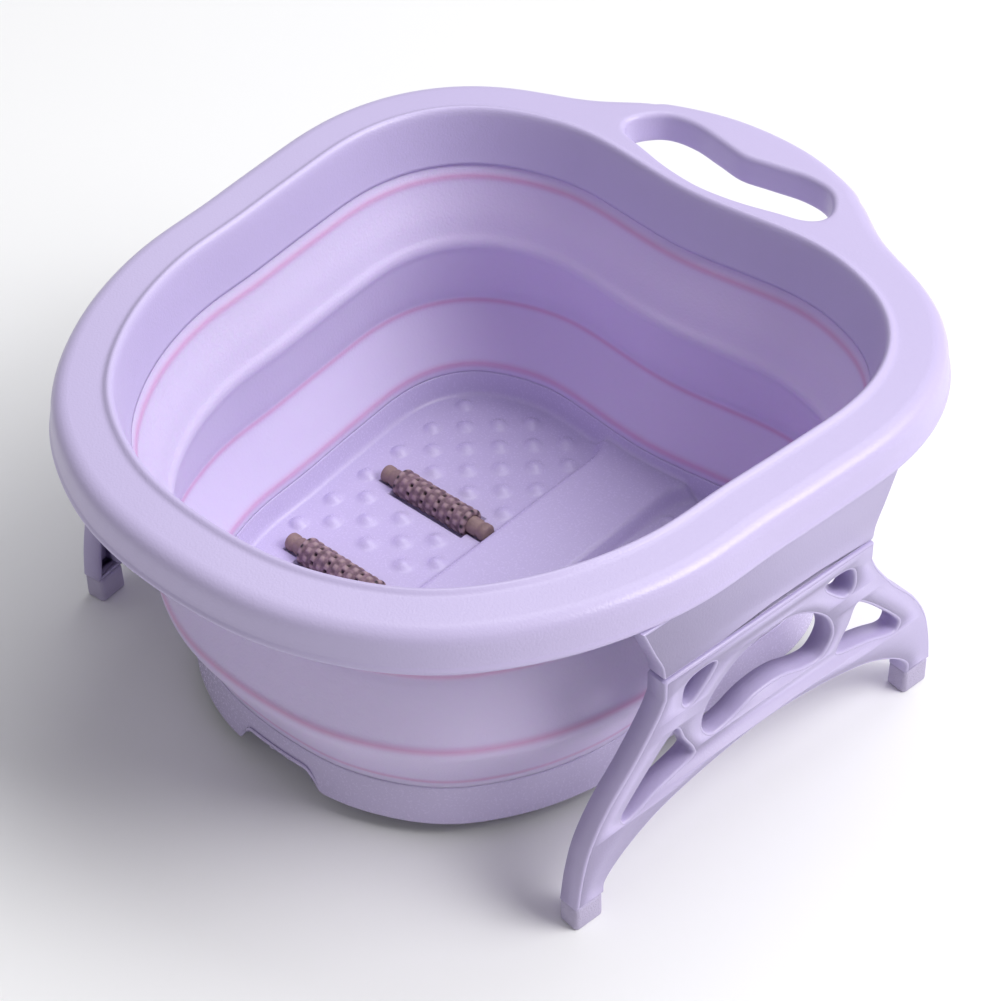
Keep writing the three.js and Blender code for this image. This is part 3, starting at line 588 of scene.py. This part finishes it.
soft_rubber = moulded(
    "soft_lilac_rubber", (0.62, 0.55, 0.78), (0.66, 0.58, 0.81), 0.34,
    cloud=(5, 0.6), grain=(700, 0.18), wave=0.5,
)
rubber_nodes = soft_rubber.node_tree
rubber_shader = rubber_nodes.nodes["Principled BSDF"]
# Painted light: along each fold the colour is mixed towards pink, for light glowing through the thin rubber.
fold_glow_share = rubber_nodes.nodes.new("ShaderNodeAttribute")
fold_glow_share.attribute_name = "fold_glow_paint"
fold_glow_tint = rubber_nodes.nodes.new("ShaderNodeMix")
fold_glow_tint.data_type = "RGBA"
fold_glow_tint.inputs["B"].default_value = (0.60, 0.36, 0.60, 1)
rubber_nodes.links.new(fold_glow_share.outputs["Fac"], fold_glow_tint.inputs["Factor"])
rubber_group = next(n for n in rubber_nodes.nodes if n.type == "GROUP")
rubber_nodes.links.new(rubber_group.outputs["Color"], fold_glow_tint.inputs["A"])
rubber_nodes.links.new(fold_glow_tint.outputs["Result"], rubber_shader.inputs["Base Color"])
rubber_shader.inputs["Subsurface Weight"].default_value = 0.35
rubber_shader.inputs["Subsurface Radius"].default_value = (1.0, 0.6, 0.9)
rubber_shader.inputs["Subsurface Scale"].default_value = 0.004
wall = stand("soft_wall", wall_mesh, soft_rubber)
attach(wall, "rim_frame")
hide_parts("folding_wall")
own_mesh(wall)

# ---- Tray ----
# The tray is one stiff moulding: two foot wells with rows of massage bumps, a raised ridge between
# them, four roller pockets, and a rounded base that it stands on when the wall is let down.
# The folding wall's foot is welded to the top of its edge.

well_floor = 17.0
ridge_top = 24.0
ridge_half_top = 22.0
ridge_half_foot = 27.5
roller_x = 63.0
roller_ys = (-33.0, 36.0)
roller_length = 49.0
axle_height = 19.2
pocket_half_length = roller_length / 2 + 1.2
pocket_half_width = 9.6
cradle_half_length = roller_length / 2 + 11.8
cradle_half_width = 5.5
barrel_drop = 5.9
cradle_drop = 3.0
floor_half = 101.0
floor_front = -50.0
floor_back = 88.0
floor_pitch = 1.75
floor_inset = 31.4
well_inset = 30.5
bump_inset = 37.6
bump_start = 6
bump_pitch = 24.5
bump_row_pitch = 12.4
bump_radius = 5.3
bump_height = 2.3
roller_clear_x = 41
roller_clear_y = 13.8
ridge_step = 5.5
corner_blend = 16
corner_lead = 4.5
tray_wall = 1.4


def smooth_step(t):
    """The cubic 3t^2 - 2t^3 between 0 and 1, flat at both ends."""
    t = np.clip(t, 0, 1)
    return t * t * (3 - 2 * t)


def line_through(low, high, stops, pitch, lip):
    """Grid lines from low to high at a pitch, with a pair of lines a lip apart at each stop."""
    lines = list(np.linspace(low, high, int((high - low) / pitch) + 1))
    lines = [v for v in lines if all(abs(v - s) > 0.6 * pitch for s in stops)]
    for s in stops:
        lines += [s - 2.2 * lip, s - lip, s, s + lip, s + 2.2 * lip]
    return np.array(sorted(lines))


bump_rows = np.arange(-14, 14)
bump_columns = np.arange(0, 7)
bump_row, bump_column = np.meshgrid(bump_rows, bump_columns, indexing="ij")
bump_x = np.ravel(ridge_half_foot + bump_start + bump_pitch * (bump_column + 0.5 * (bump_row % 2)))
bump_y = np.ravel(5 + bump_row_pitch * bump_row)
near_roller = np.zeros(len(bump_x), bool)
for y in roller_ys:
    beside = np.abs(bump_x - roller_x) < roller_clear_x
    near_roller |= beside & (np.abs(bump_y - y) < roller_clear_y)
coarse_mouth = even_steps(mouth, 360)
coarse_out = outward(coarse_mouth)
bump_limit = coarse_mouth - bump_inset * coarse_out
well_edge = coarse_mouth - well_inset * coarse_out


def inside_of(line, x, y):
    """Whether points lie inside a closed plan line: the angles it turns round them add up to a turn."""
    to_x = line[:, 0][None] - x[:, None]
    to_y = line[:, 1][None] - y[:, None]
    angle = np.arctan2(to_y, to_x)
    turn = np.diff(np.hstack([angle, angle[:, :1]]), axis=1)
    turn = (turn + math.pi) % (2 * math.pi) - math.pi
    return np.abs(turn.sum(1)) > math.pi


kept = inside_of(bump_limit, bump_x, bump_y) & ~near_roller
bump_x = np.concatenate([bump_x[kept], -bump_x[kept]])
bump_y = np.concatenate([bump_y[kept], bump_y[kept]])


def floor_height(x, y):
    """Height of the tray's floor at plan points.

    The well floor, raised to the ridge over a smooth step. The step follows the ridge's side, and
    turns in a rounded corner where that side meets the tray's wall: the smooth minimum of the
    distances from both. Each bump adds a dome, one less its squared distance, to a power.
    """
    flat_x, flat_y = np.ravel(x), np.ravel(y)
    near = np.abs(flat_x) < ridge_half_foot + 30
    from_wall = np.full(len(flat_x), 99.0)
    gap = np.hypot(flat_x[near][:, None] - well_edge[:, 0], flat_y[near][:, None] - well_edge[:, 1])
    from_wall[near] = gap.min(1)
    from_wall = from_wall.reshape(np.shape(x)) + corner_lead
    from_ridge = np.abs(x) - ridge_half_top
    blend = np.maximum(corner_blend - np.abs(from_ridge - from_wall), 0) / corner_blend
    away = np.minimum(from_ridge, from_wall) - corner_blend / 4 * blend**2
    z = ridge_top - (ridge_top - well_floor) * smooth_step(away / ridge_step)
    for bx, by in zip(bump_x, bump_y):
        far = ((x - bx) ** 2 + (y - by) ** 2) / bump_radius**2
        z = z + bump_height * np.maximum(1 - far, 0) ** 1.2
    return z


def pocket_depth(x, y):
    """How far the floor drops at plan points: a barrel pocket with a narrower seat at each end."""
    drop = np.zeros_like(x)
    for ry in roller_ys:
        across, along = np.abs(y - ry), np.abs(np.abs(x) - roller_x)
        in_barrel = (along < pocket_half_length) & (across < pocket_half_width)
        in_cradle = (along < cradle_half_length) & (across < cradle_half_width)
        drop = np.where(in_barrel, barrel_drop, np.where(in_cradle, cradle_drop, drop))
    return drop


lip = 0.22
x_stops = []
y_stops = []
pocket_sizes = ((pocket_half_length, pocket_half_width), (cradle_half_length, cradle_half_width))
for half_length, half_width in pocket_sizes:
    for end in (-1, 1):
        x_stops += [side * (roller_x + end * half_length) for side in (-1, 1)]
        y_stops += [y + end * half_width for y in roller_ys]
lines_x = line_through(-floor_half, floor_half, x_stops, floor_pitch, lip)
lines_y = line_through(floor_front, floor_back, y_stops, floor_pitch, lip)
grid_x, grid_y = np.meshgrid(lines_x, lines_y)
grid_z = floor_height(grid_x, grid_y) - pocket_depth(grid_x, grid_y)
middle_grid = place_3d(np.stack([grid_x, grid_y], -1), grid_z)

# The ring between that middle and the tray's edge: its inner side is the middle's own border.
border = np.concatenate([
    np.stack([lines_x[:-1], np.full(len(lines_x) - 1, floor_front)], 1),
    np.stack([np.full(len(lines_y) - 1, floor_half), lines_y[:-1]], 1),
    np.stack([lines_x[:0:-1], np.full(len(lines_x) - 1, floor_back)], 1),
    np.stack([np.full(len(lines_y) - 1, -floor_half), lines_y[:0:-1]], 1),
])
corner_places = []
for aim in ((-134.5, -75.2), (134.5, -75.2), (142.6, 112.0), (-142.6, 112.0)):
    corner_places.append(int(np.argmin(((mouth - aim) ** 2).sum(1))))
border_counts = 2 * [len(lines_x) - 1, len(lines_y) - 1]
border_places = []
for low, high, n in zip(corner_places, np.roll(corner_places, -1), border_counts):
    border_places.append(low + (high - low) % mouth_steps * np.arange(n) / n)
border_places = np.concatenate(border_places)
tray_station = on(mouth, border_places)
tray_out = on(mouth_out, border_places)
tray_out /= np.linalg.norm(tray_out, axis=1, keepdims=True)
floor_edge = tray_station - floor_inset * tray_out
ring_rows = []
for share in np.linspace(0, 1, 38):
    plan = border + share * (floor_edge - border)
    ring_rows.append(place_3d(plan, floor_height(plan[:, 0], plan[:, 1])))
# The tray's wall goes up from the floor, over its top and down to the foot it stands on.
wall_rows = [
    (-30.6, 17.1), (-29.9, 17.45), (-29.3, 18.1), (-28.9, 19.0), (-28.6, 20.4), (-28.2, 24),
    (-27.8, 27.5), (-27.5, 29.6), (-27.4, 30.5), (-27.15, 30.85), (-26.7, 30.95), (-25.2, 30.95),
    (-24.6, 30.8), (-24.25, 30.3), (-24.15, 29.5), (-23.7, 25), (-23.2, 20), (-22.6, 15),
    (-22.1, 10.4), (-22.1, 9.7), (-22.4, 9.15), (-23.0, 9.0),
]
tunnel_top = 21.0
tunnel_drop = 12.5
tunnel_half_top = 17
tunnel_step = 12
for off, z in wall_rows:
    plan = tray_station + off * tray_out
    across = np.abs(plan[:, 0])
    ridge_z = ridge_top - (ridge_top - well_floor) * smooth_step((across - ridge_half_top - 4) / 9)
    tunnel_z = tunnel_top - tunnel_drop * smooth_step((across - tunnel_half_top) / tunnel_step)
    low_z = z
    if off < -27:
        low_z = ridge_z
    elif off > -24.3:
        low_z = tunnel_z
    ring_rows.append(place_3d(plan, np.maximum(z, low_z)))
tray_mesh = sheet_mesh("tray_shell", [
    (middle_grid, grid_faces(*grid_x.shape, False)),
    (np.stack(ring_rows), grid_faces(len(ring_rows), len(border), True)),
], open_upwards=True)
tray_plastic = moulded(
    "lilac_tray_plastic", (0.56, 0.49, 0.74), (0.60, 0.53, 0.77), 0.18, cloud=(9, 0.5),
)
tray = stand("tray_shell", tray_mesh, tray_plastic)
thicken(tray, tray_wall * mm)
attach(tray, "basin_tray")
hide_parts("tray")

# A wall on each side of the ridge's underside leads a tunnel through the base from end to end.
tunnel_section = ((19.0, 22.0), (20.5, 20.9), (21.8, 19.2), (25.0, 14.0), (27.6, 9.4))
tunnel_middle = -3.0
tunnel_half = 131.0
tunnel_flare = 9.0
run = np.linspace(tunnel_middle - tunnel_half, tunnel_middle + tunnel_half, 90)
near_mouth = np.maximum(np.abs(run - tunnel_middle) / tunnel_half - 0.9, 0) * 10
for side, sign in (("left", -1), ("right", 1)):
    rows = []
    for across, z in tunnel_section:
        turn_out = tunnel_flare * near_mouth * (22 - z) / 13
        rows.append(place_3d(np.stack([sign * (across + turn_out), run], 1), z))
    rib_faces = grid_faces(len(rows), len(run), False)
    rib_mesh = sheet_mesh(side + "_tunnel_wall", [(np.stack(rows), rib_faces)])
    rib = stand(side + "_tunnel_wall", rib_mesh, tray_plastic)
    thicken(rib, tray_wall * mm)
    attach(rib, "basin_tray")

# ---- Massage rollers ----
# Each well has two barrel rollers of speckled brownish plastic, nubbed all round, turning on
# lighter axles whose ends drop into seats in the tray. The nubs' colour carries a painted highlight and the
# pits' colour a painted shade.

roller_radius = 7.6
barrel_turns = 144
axle_turns = 40
lattice_row = 4.7
nubs_round = 9


def revolved(profile, turns, middle, relief=None):
    """A closed skin of revolution about a line along X: the profile is (place along it, radius).

    A relief adds to the radius, from the place along the line and the angle round it.
    """
    along, radius = profile[:, 0][:, None], profile[:, 1][:, None]
    angle = np.linspace(0, 2 * math.pi, turns, endpoint=False)[None]
    if relief is not None:
        radius = radius + relief(along, angle)
    x = np.broadcast_to(along, (len(profile), turns)) + middle[0]
    y = radius * np.cos(angle) + middle[1] - middle_y
    z = radius * np.sin(angle) + middle[2]
    return np.stack([x, y, z], -1) * mm


def roller_lattice(along, angle):
    """Where a roller's nubs and pits are: two shares from 0 to 1, nubs and pits, in staggered rows.

    Each is a rounded square: e to the minus fourth powers of the distances along and round from it.
    """
    phase = np.round(along / lattice_row)
    near = np.abs(along / lattice_row - phase) * lattice_row
    turns = nubs_round * angle / (2 * math.pi) + 0.5 * (phase % 2)
    spacing = 2 * math.pi * 7.4 / nubs_round
    side = (turns - np.round(turns)) * spacing
    other = (turns + 0.5 - np.round(turns + 0.5)) * spacing
    nub = np.exp(-((near / 1.35) ** 4) - (side / 1.45) ** 4)
    pit = np.exp(-((near / 0.85) ** 4) - (other / 0.85) ** 4) * (phase % 2)
    return nub, pit


def roller_relief(along, angle):
    """Square nubs stand out of a roller's skin and small pits go in, away from its two ends."""
    nub, pit = roller_lattice(along, angle)
    inside = smooth_step((roller_length / 2 - 1.6 - np.abs(along)) / 1.2)
    return inside * (0.45 * nub - 1.5 * pit - 0.5)


half = roller_length / 2
barrel_x = np.linspace(-half + 1.0, half - 1.0, 190)
barrel = np.concatenate([
    [(-half, 5.1), (-half, 5.8), (-half, 6.6), (-half + 0.3, 7.15), (-half + 0.6, 7.45)],
    np.stack([barrel_x, np.full(len(barrel_x), roller_radius)], 1),
    [(half - 0.6, 7.45), (half - 0.3, 7.15), (half, 6.6), (half, 5.8), (half, 5.1)],
    [(0, 5.1), (-half, 5.1)],
])
axle_half = half + 11.5
axle_half_profile = [
    (0, 4.75), (axle_half - 6.6, 4.75), (axle_half - 5.9, 4.3), (axle_half - 4.6, 4.25),
    (axle_half - 3.9, 4.75), (axle_half - 1.0, 4.75), (axle_half - 0.3, 4.4), (axle_half, 3.8),
    (axle_half, 2.0), (axle_half, 0.02),
]
axle = np.array([(-x, r) for x, r in axle_half_profile[:0:-1]] + axle_half_profile)
roller_plastic = moulded(
    "speckled_roller_plastic_with_painted_light", (0.25, 0.155, 0.185), (0.10, 0.055, 0.07), 0.48,
    cloud=(330, 0.9), grain=(1500, 0.4), wave=0,
)
axle_plastic = moulded(
    "tan_axle_plastic", (0.30, 0.20, 0.19), (0.20, 0.13, 0.125), 0.5,
    cloud=(260, 0.6), grain=(1500, 0.3), wave=0,
)
roller_nodes = roller_plastic.node_tree
roller_shader = roller_nodes.nodes["Principled BSDF"]
last_color = next(n for n in roller_nodes.nodes if n.type == "GROUP").outputs["Color"]
# Painted highlight and painted shade: the nubs get a light highlight colour for the light the raised nubs
# catch, and the pits get near black for the shade inside them.
for label, tint, most in (("nub", (0.44, 0.31, 0.32, 1), 0.75), ("pit", (0.012, 0.008, 0.01, 1), 1.0)):
    share = roller_nodes.nodes.new("ShaderNodeAttribute")
    share.attribute_name = label
    mixed = roller_nodes.nodes.new("ShaderNodeMix")
    mixed.data_type = "RGBA"
    mixed.inputs["B"].default_value = tint
    strength = roller_nodes.nodes.new("ShaderNodeMath")
    strength.operation = "MULTIPLY"
    strength.inputs[1].default_value = most
    roller_nodes.links.new(share.outputs["Fac"], strength.inputs[0])
    roller_nodes.links.new(strength.outputs["Value"], mixed.inputs["Factor"])
    roller_nodes.links.new(last_color, mixed.inputs["A"])
    last_color = mixed.outputs["Result"]
roller_nodes.links.new(last_color, roller_shader.inputs["Base Color"])
roller_places = {
    "left_front": (-roller_x, roller_ys[0]),
    "left_back": (-roller_x, roller_ys[1]),
    "right_front": (roller_x, roller_ys[0]),
    "right_back": (roller_x, roller_ys[1]),
}
for name, (x, y) in roller_places.items():
    skin = revolved(barrel, barrel_turns, (x, y, axle_height), roller_relief)
    mesh = sheet_mesh(name + "_barrel", [(skin, grid_faces(len(barrel), barrel_turns, True))])
    spots = np.zeros(len(mesh.vertices) * 3)
    mesh.vertices.foreach_get("co", spots)
    spots = spots.reshape(-1, 3) / mm - (x, y - middle_y, axle_height)
    turn = np.arctan2(spots[:, 2], spots[:, 1]) % (2 * math.pi)
    nub, pit = roller_lattice(spots[:, 0], turn)
    for label, share in (("nub", nub), ("pit", pit)):
        spot_share = mesh.attributes.new(label, "FLOAT", "POINT")
        spot_share.data.foreach_set("value", share.astype(np.float32))
    barrel_piece = stand(name + "_barrel", mesh, roller_plastic)
    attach(barrel_piece, name + "_roller")
    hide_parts(name + "_roller")
    skin = revolved(axle, axle_turns, (x, y, axle_height))
    mesh = sheet_mesh(name + "_spindle", [(skin, grid_faces(len(axle), axle_turns, True))])
    axle_piece = stand(name + "_spindle", mesh, axle_plastic)
    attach(axle_piece, "basin_tray")
    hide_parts(name + "_axle")

# ---- Leg panels ----
# Each side has a moulded leg panel with five lightening holes, a stiff skin in front and an open
# back with a wall round its edge and round every hole. It swings on two pins under the apron.

panel_thickness = 12.0
waist_half = 65.0
foot_half_spread = 115.7
foot_width = 16.7
leg_top = 121.5
leg_foot = 14.3
arch_height = 53.5
leg_bevel = 1.3
face_x = mouth_half_width + shoulder / math.cos(side_splay)


def leg_point(along, up):
    """A point of the panel: along 0 at the waist to 1 at the foot, up 0 at the foot to 1 at the top."""
    across = waist_half + along * (foot_half_spread - waist_half)
    return (across, leg_foot + up * (leg_top - leg_foot))


def arch_point(out, up):
    """A point of the arch between the feet: out 0 in the middle to 1 at a foot."""
    return (out * (foot_half_spread - foot_width), leg_foot + up * (arch_height - leg_foot))


def waist_point(out, up):
    """A point of the panel's upper middle: out 0 on its axis to 1 at the waist's edge."""
    return (out * waist_half, leg_foot + up * (leg_top - leg_foot))


flank_shares = ((0, 0.9), (0.1, 0.81), (0.355, 0.645), (0.65, 0.485), (0.85, 0.325), (0.95, 0.16), (1, 0))
flank = [leg_point(a, u) for a, u in flank_shares]
arch_shares = ((1, 0), (0.985, 0.2), (0.87, 0.46), (0.67, 0.72), (0.36, 0.91), (0, 1))
arch = [arch_point(o, u) for o, u in arch_shares]
arch_full = arch + [(-x, z) for x, z in arch[-2::-1]]
flank_line = smooth_through(flank, 8, False)
arch_line = smooth_through(arch_full, 8, False)
top_line = [(x, leg_top) for x in (0, 20, 40, waist_half - 1.5)] + [(waist_half, leg_top - 1)]
right_half = np.vstack([top_line, flank_line, [(foot_half_spread, leg_foot)]])
mirrored_half = right_half[::-1] * (-1, 1)
leg_outline = np.vstack([right_half, arch_line, [arch_full[-1]], mirrored_half[:-1]])
bone_shares = (
    (0, 0.895), (0.22, 0.875), (0.42, 0.81), (0.58, 0.71), (0.63, 0.6), (0.53, 0.515),
    (0.36, 0.525), (0.18, 0.565), (0, 0.578),
)
bone = [waist_point(o, u) for o, u in bone_shares]
bone += [waist_point(-o, u) for o, u in bone_shares[-2:0:-1]]
leaf_shares = ((0.53, 0.915), (0.68, 0.935), (0.8, 0.905), (0.82, 0.81), (0.73, 0.79))
leaf = [waist_point(o, u) for o, u in leaf_shares]
triangle_shares = (
    (-0.17, 0.68), (-0.08, 0.67), (0.16, 0.56), (0.44, 0.41), (0.46, 0.36), (0.38, 0.345),
    (0.08, 0.4), (-0.33, 0.455), (-0.36, 0.5), (-0.24, 0.6),
)
triangle = [leg_point(a, u) for a, u in triangle_shares]
holes = [smooth_through(bone, 7, True)]
for shape, steps in ((leaf, 8), (triangle, 6)):
    line = smooth_through(shape, steps, True)
    holes += [line, line[::-1] * (-1, 1)]


def side_frame(side):
    """Matrix from a side panel's own frame to the overall frame.

    Its own frame has X along the panel, Y up, and Z out of the outer face, which is at Z = 0.
    """
    sign = 1 if side == "right" else -1
    out = Vector((sign * math.cos(side_splay), -math.sin(side_splay), 0))
    along = Vector((0, 0, 1)).cross(out)
    matrix = Matrix((along, Vector((0, 0, 1)), out)).transposed().to_4x4()
    return Matrix.Translation((sign * face_x * mm, -middle_y * mm, 0)) @ matrix


def plate(name, outlines, near, far, bevel, side, material, open_back):
    """A flat plate between two depths behind the outer face, cut to plan outlines.

    The first outline is its edge and the rest are holes. Every edge is rounded by the bevel.
    With an open back only the front and the walls are made.
    """
    curve = bpy.data.curves.new(name, "CURVE")
    curve.dimensions = "2D"
    curve.fill_mode = "FRONT" if open_back else "BOTH"
    curve.extrude = ((far - near) / 2 - bevel) * mm
    curve.bevel_depth = bevel * mm
    curve.bevel_resolution = 3
    curve.offset = -bevel * mm
    for outline in outlines:
        spline = curve.splines.new("POLY")
        spline.points.add(len(outline) - 1)
        flat = np.zeros((len(outline), 4))
        flat[:, :2] = np.array(outline) * mm
        flat[:, 3] = 1
        spline.points.foreach_set("co", flat.ravel())
        spline.use_cyclic_u = True
    shape = bpy.data.objects.new(name + "_outline", curve)
    scene.collection.objects.link(shape)
    bpy.context.view_layer.update()
    evaluated = shape.evaluated_get(bpy.context.evaluated_depsgraph_get())
    mesh = bpy.data.meshes.new_from_object(evaluated)
    bpy.data.objects.remove(shape)
    mesh.name = name
    mesh.transform(side_frame(side) @ Matrix.Translation((0, 0, -(near + far) / 2 * mm)))
    mesh.shade_smooth()
    mesh.set_sharp_from_angle(angle=math.radians(42))
    return stand(name, mesh, material)


leg_plastic = moulded(
    "lilac_leg_plastic", (0.50, 0.44, 0.68), (0.55, 0.48, 0.72), 0.27, cloud=(8, 0.5),
)
for side in ("left", "right"):
    outlines = [leg_outline, *holes]
    panel = plate(side + "_leg", outlines, 0, panel_thickness, leg_bevel, side, leg_plastic, True)
    thicken(panel, plastic_wall * mm)
    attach(panel, side + "_leg")
    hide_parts(side + "_leg_panel")

# ---- Aprons and hinges ----
# Under each side of the rim hangs a short apron that carries the leg panel. Its tongue is clipped
# inside the rim's channel. Two steel pins run through knuckles on the apron and on the leg panel.

hinge_height = 122.0
seam = 0.5
skirt_bottom = 158.0
apron_flare = 13.0
apron_corner = 8.0
apron_low = hinge_height + seam
apron_high = skirt_bottom - 0.3
apron_top_corner = (waist_half + apron_flare, apron_high)
apron_edge = smooth_through([
    (waist_half - 3, apron_low),
    (waist_half - 0.3, apron_low + 0.7),
    (waist_half + 0.15 * apron_corner, apron_low + apron_corner),
    (waist_half + 0.5 * apron_flare, (apron_low + apron_high) / 2 + 2),
    apron_top_corner,
], 8, False)
apron_half = np.vstack([[(0, apron_low), (30, apron_low)], apron_edge, [apron_top_corner]])
apron_outline = np.vstack([apron_half, (apron_half * (-1, 1))[:0:-1]])
tongue_half = 44
tongue_low = apron_high - 2
tongue_high = 170
tongue_outline = [
    (-tongue_half, tongue_low), (tongue_half, tongue_low),
    (tongue_half, tongue_high), (-tongue_half, tongue_high),
]
knuckle_length = 7.0
knuckle_step = knuckle_length + 0.6
pin_station = 43.0
pin_half = 1.5 * knuckle_length + 0.6


def turned(name, profile, turns, start, side, material):
    """A closed skin of revolution about the hinge line: the profile is (place along it, radius)."""
    angle = np.linspace(0, 2 * math.pi, turns, endpoint=False)[None]
    along, radius = np.array(profile, float)[:, :1], np.array(profile, float)[:, 1:]
    x = np.broadcast_to(along + start, (len(profile), turns))
    y = radius * np.cos(angle) + hinge_height
    z = radius * np.sin(angle) - panel_thickness
    points = np.stack([x, y, z], -1) * mm
    mesh = sheet_mesh(name, [(points, grid_faces(len(profile), turns, True))])
    mesh.transform(side_frame(side))
    mesh.set_sharp_from_angle(angle=math.radians(50))
    return stand(name, mesh, material)


knuckle_half = knuckle_length / 2
knuckle_profile = [
    (-knuckle_half, 2.1), (-knuckle_half, 4.4), (-knuckle_half + 0.5, 4.95),
    (knuckle_half - 0.5, 4.95), (knuckle_half, 4.4), (knuckle_half, 2.1),
    (0, 2.1), (-knuckle_half, 2.1),
]
pin_profile = [
    (-pin_half, 0.01), (-pin_half, 1.3), (-pin_half + 0.3, 1.75),
    (pin_half - 0.3, 1.75), (pin_half, 1.3), (pin_half, 0.01),
]
pin_steel = moulded(
    "drawn_pin_steel", (0.52, 0.52, 0.54), (0.40, 0.40, 0.42), 0.28,
    cloud=(200, 0.5), grain=(2500, 0.2), wave=0,
)
pin_steel.node_tree.nodes["Principled BSDF"].inputs["Metallic"].default_value = 1
for side in ("left", "right"):
    apron_back = panel_thickness - 0.6
    apron = plate(side + "_apron_plate", [apron_outline], 0.8, apron_back, 0.9, side, leg_plastic, True)
    thicken(apron, plastic_wall * mm)
    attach(apron, "rim_frame")
    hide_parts(side + "_apron")
    tongue_name = side + "_apron_tongue"
    tongue = plate(tongue_name, [tongue_outline], 5.2, 11.6, 0.6, side, leg_plastic, False)
    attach(tongue, "rim_frame")
    for end, station_sign in (("front", -1), ("back", 1)):
        along_sign = station_sign if side == "right" else -station_sign
        middle = along_sign * pin_station
        pin = turned(f"{side}_{end}_pin", pin_profile, 24, middle, side, pin_steel)
        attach(pin, "rim_frame")
        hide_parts(f"{side}_{end}_hinge_pin")
        name = f"{side}_{end}_leg_knuckle"
        inner_knuckle = turned(name, knuckle_profile, 32, middle, side, leg_plastic)
        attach(inner_knuckle, side + "_leg")
        for k, shift in enumerate((-knuckle_step, knuckle_step)):
            name = f"{side}_{end}_apron_knuckle_{k + 1}"
            outer_knuckle = turned(name, knuckle_profile, 32, middle + shift, side, leg_plastic)
            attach(outer_knuckle, "rim_frame")

# ---- Rubber feet ----
# A block of grey-lilac rubber is pushed over a peg at the end of each leg. Its sides taper a
# little and its sole has rounded edges.

foot_half_width = foot_width / 2 - 0.1
foot_half_depth = panel_thickness / 2 - 0.1
foot_corner = 2.5
foot_sections = [
    (-2.4, 0.0), (-1.2, 0.05), (-0.5, 0.35), (-0.1, 1.0), (0, 2.0), (-0.05, 7.0),
    (-0.15, 12.6), (-0.4, 13.4), (-0.9, 13.85), (-1.8, 14.0),
]
quarter = np.linspace(0, math.pi / 2, 9)
foot_rubber = moulded(
    "grey_lilac_foot_rubber", (0.50, 0.45, 0.62), (0.44, 0.39, 0.56), 0.58,
    cloud=(60, 0.5), grain=(1300, 0.5), wave=0.3,
)
for side in ("left", "right"):
    for end, station_sign in (("front", -1), ("back", 1)):
        along_sign = station_sign if side == "right" else -station_sign
        rows = []
        for inset, z in foot_sections:
            radius = foot_corner + inset
            corners = []
            for sx, sy, turn in ((1, 1, 0), (-1, 1, math.pi / 2), (-1, -1, math.pi), (1, -1, 1.5 * math.pi)):
                across = sx * (foot_half_width - foot_corner) + radius * np.cos(quarter + turn)
                deep = sy * (foot_half_depth - foot_corner) + radius * np.sin(quarter + turn)
                corners.append(np.stack([across, deep], 1))
            outline = np.concatenate(corners)
            x = outline[:, 0] + along_sign * (foot_half_spread - foot_width / 2)
            rows.append(np.stack([x, np.full(len(x), z), outline[:, 1] - panel_thickness / 2], 1))
        sole = np.broadcast_to(rows[0].mean(0), rows[0].shape)
        crown = np.broadcast_to(rows[-1].mean(0), rows[0].shape)
        points = np.stack([sole, *rows, crown]) * mm
        foot_faces = grid_faces(len(points), points.shape[1], True)
        mesh = sheet_mesh(f"{side}_{end}_foot", [(points, foot_faces)])
        mesh.transform(side_frame(side))
        foot = stand(f"{side}_{end}_foot", mesh, foot_rubber)
        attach(foot, side + "_leg")
        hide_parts(f"{side}_{end}_foot_pad")
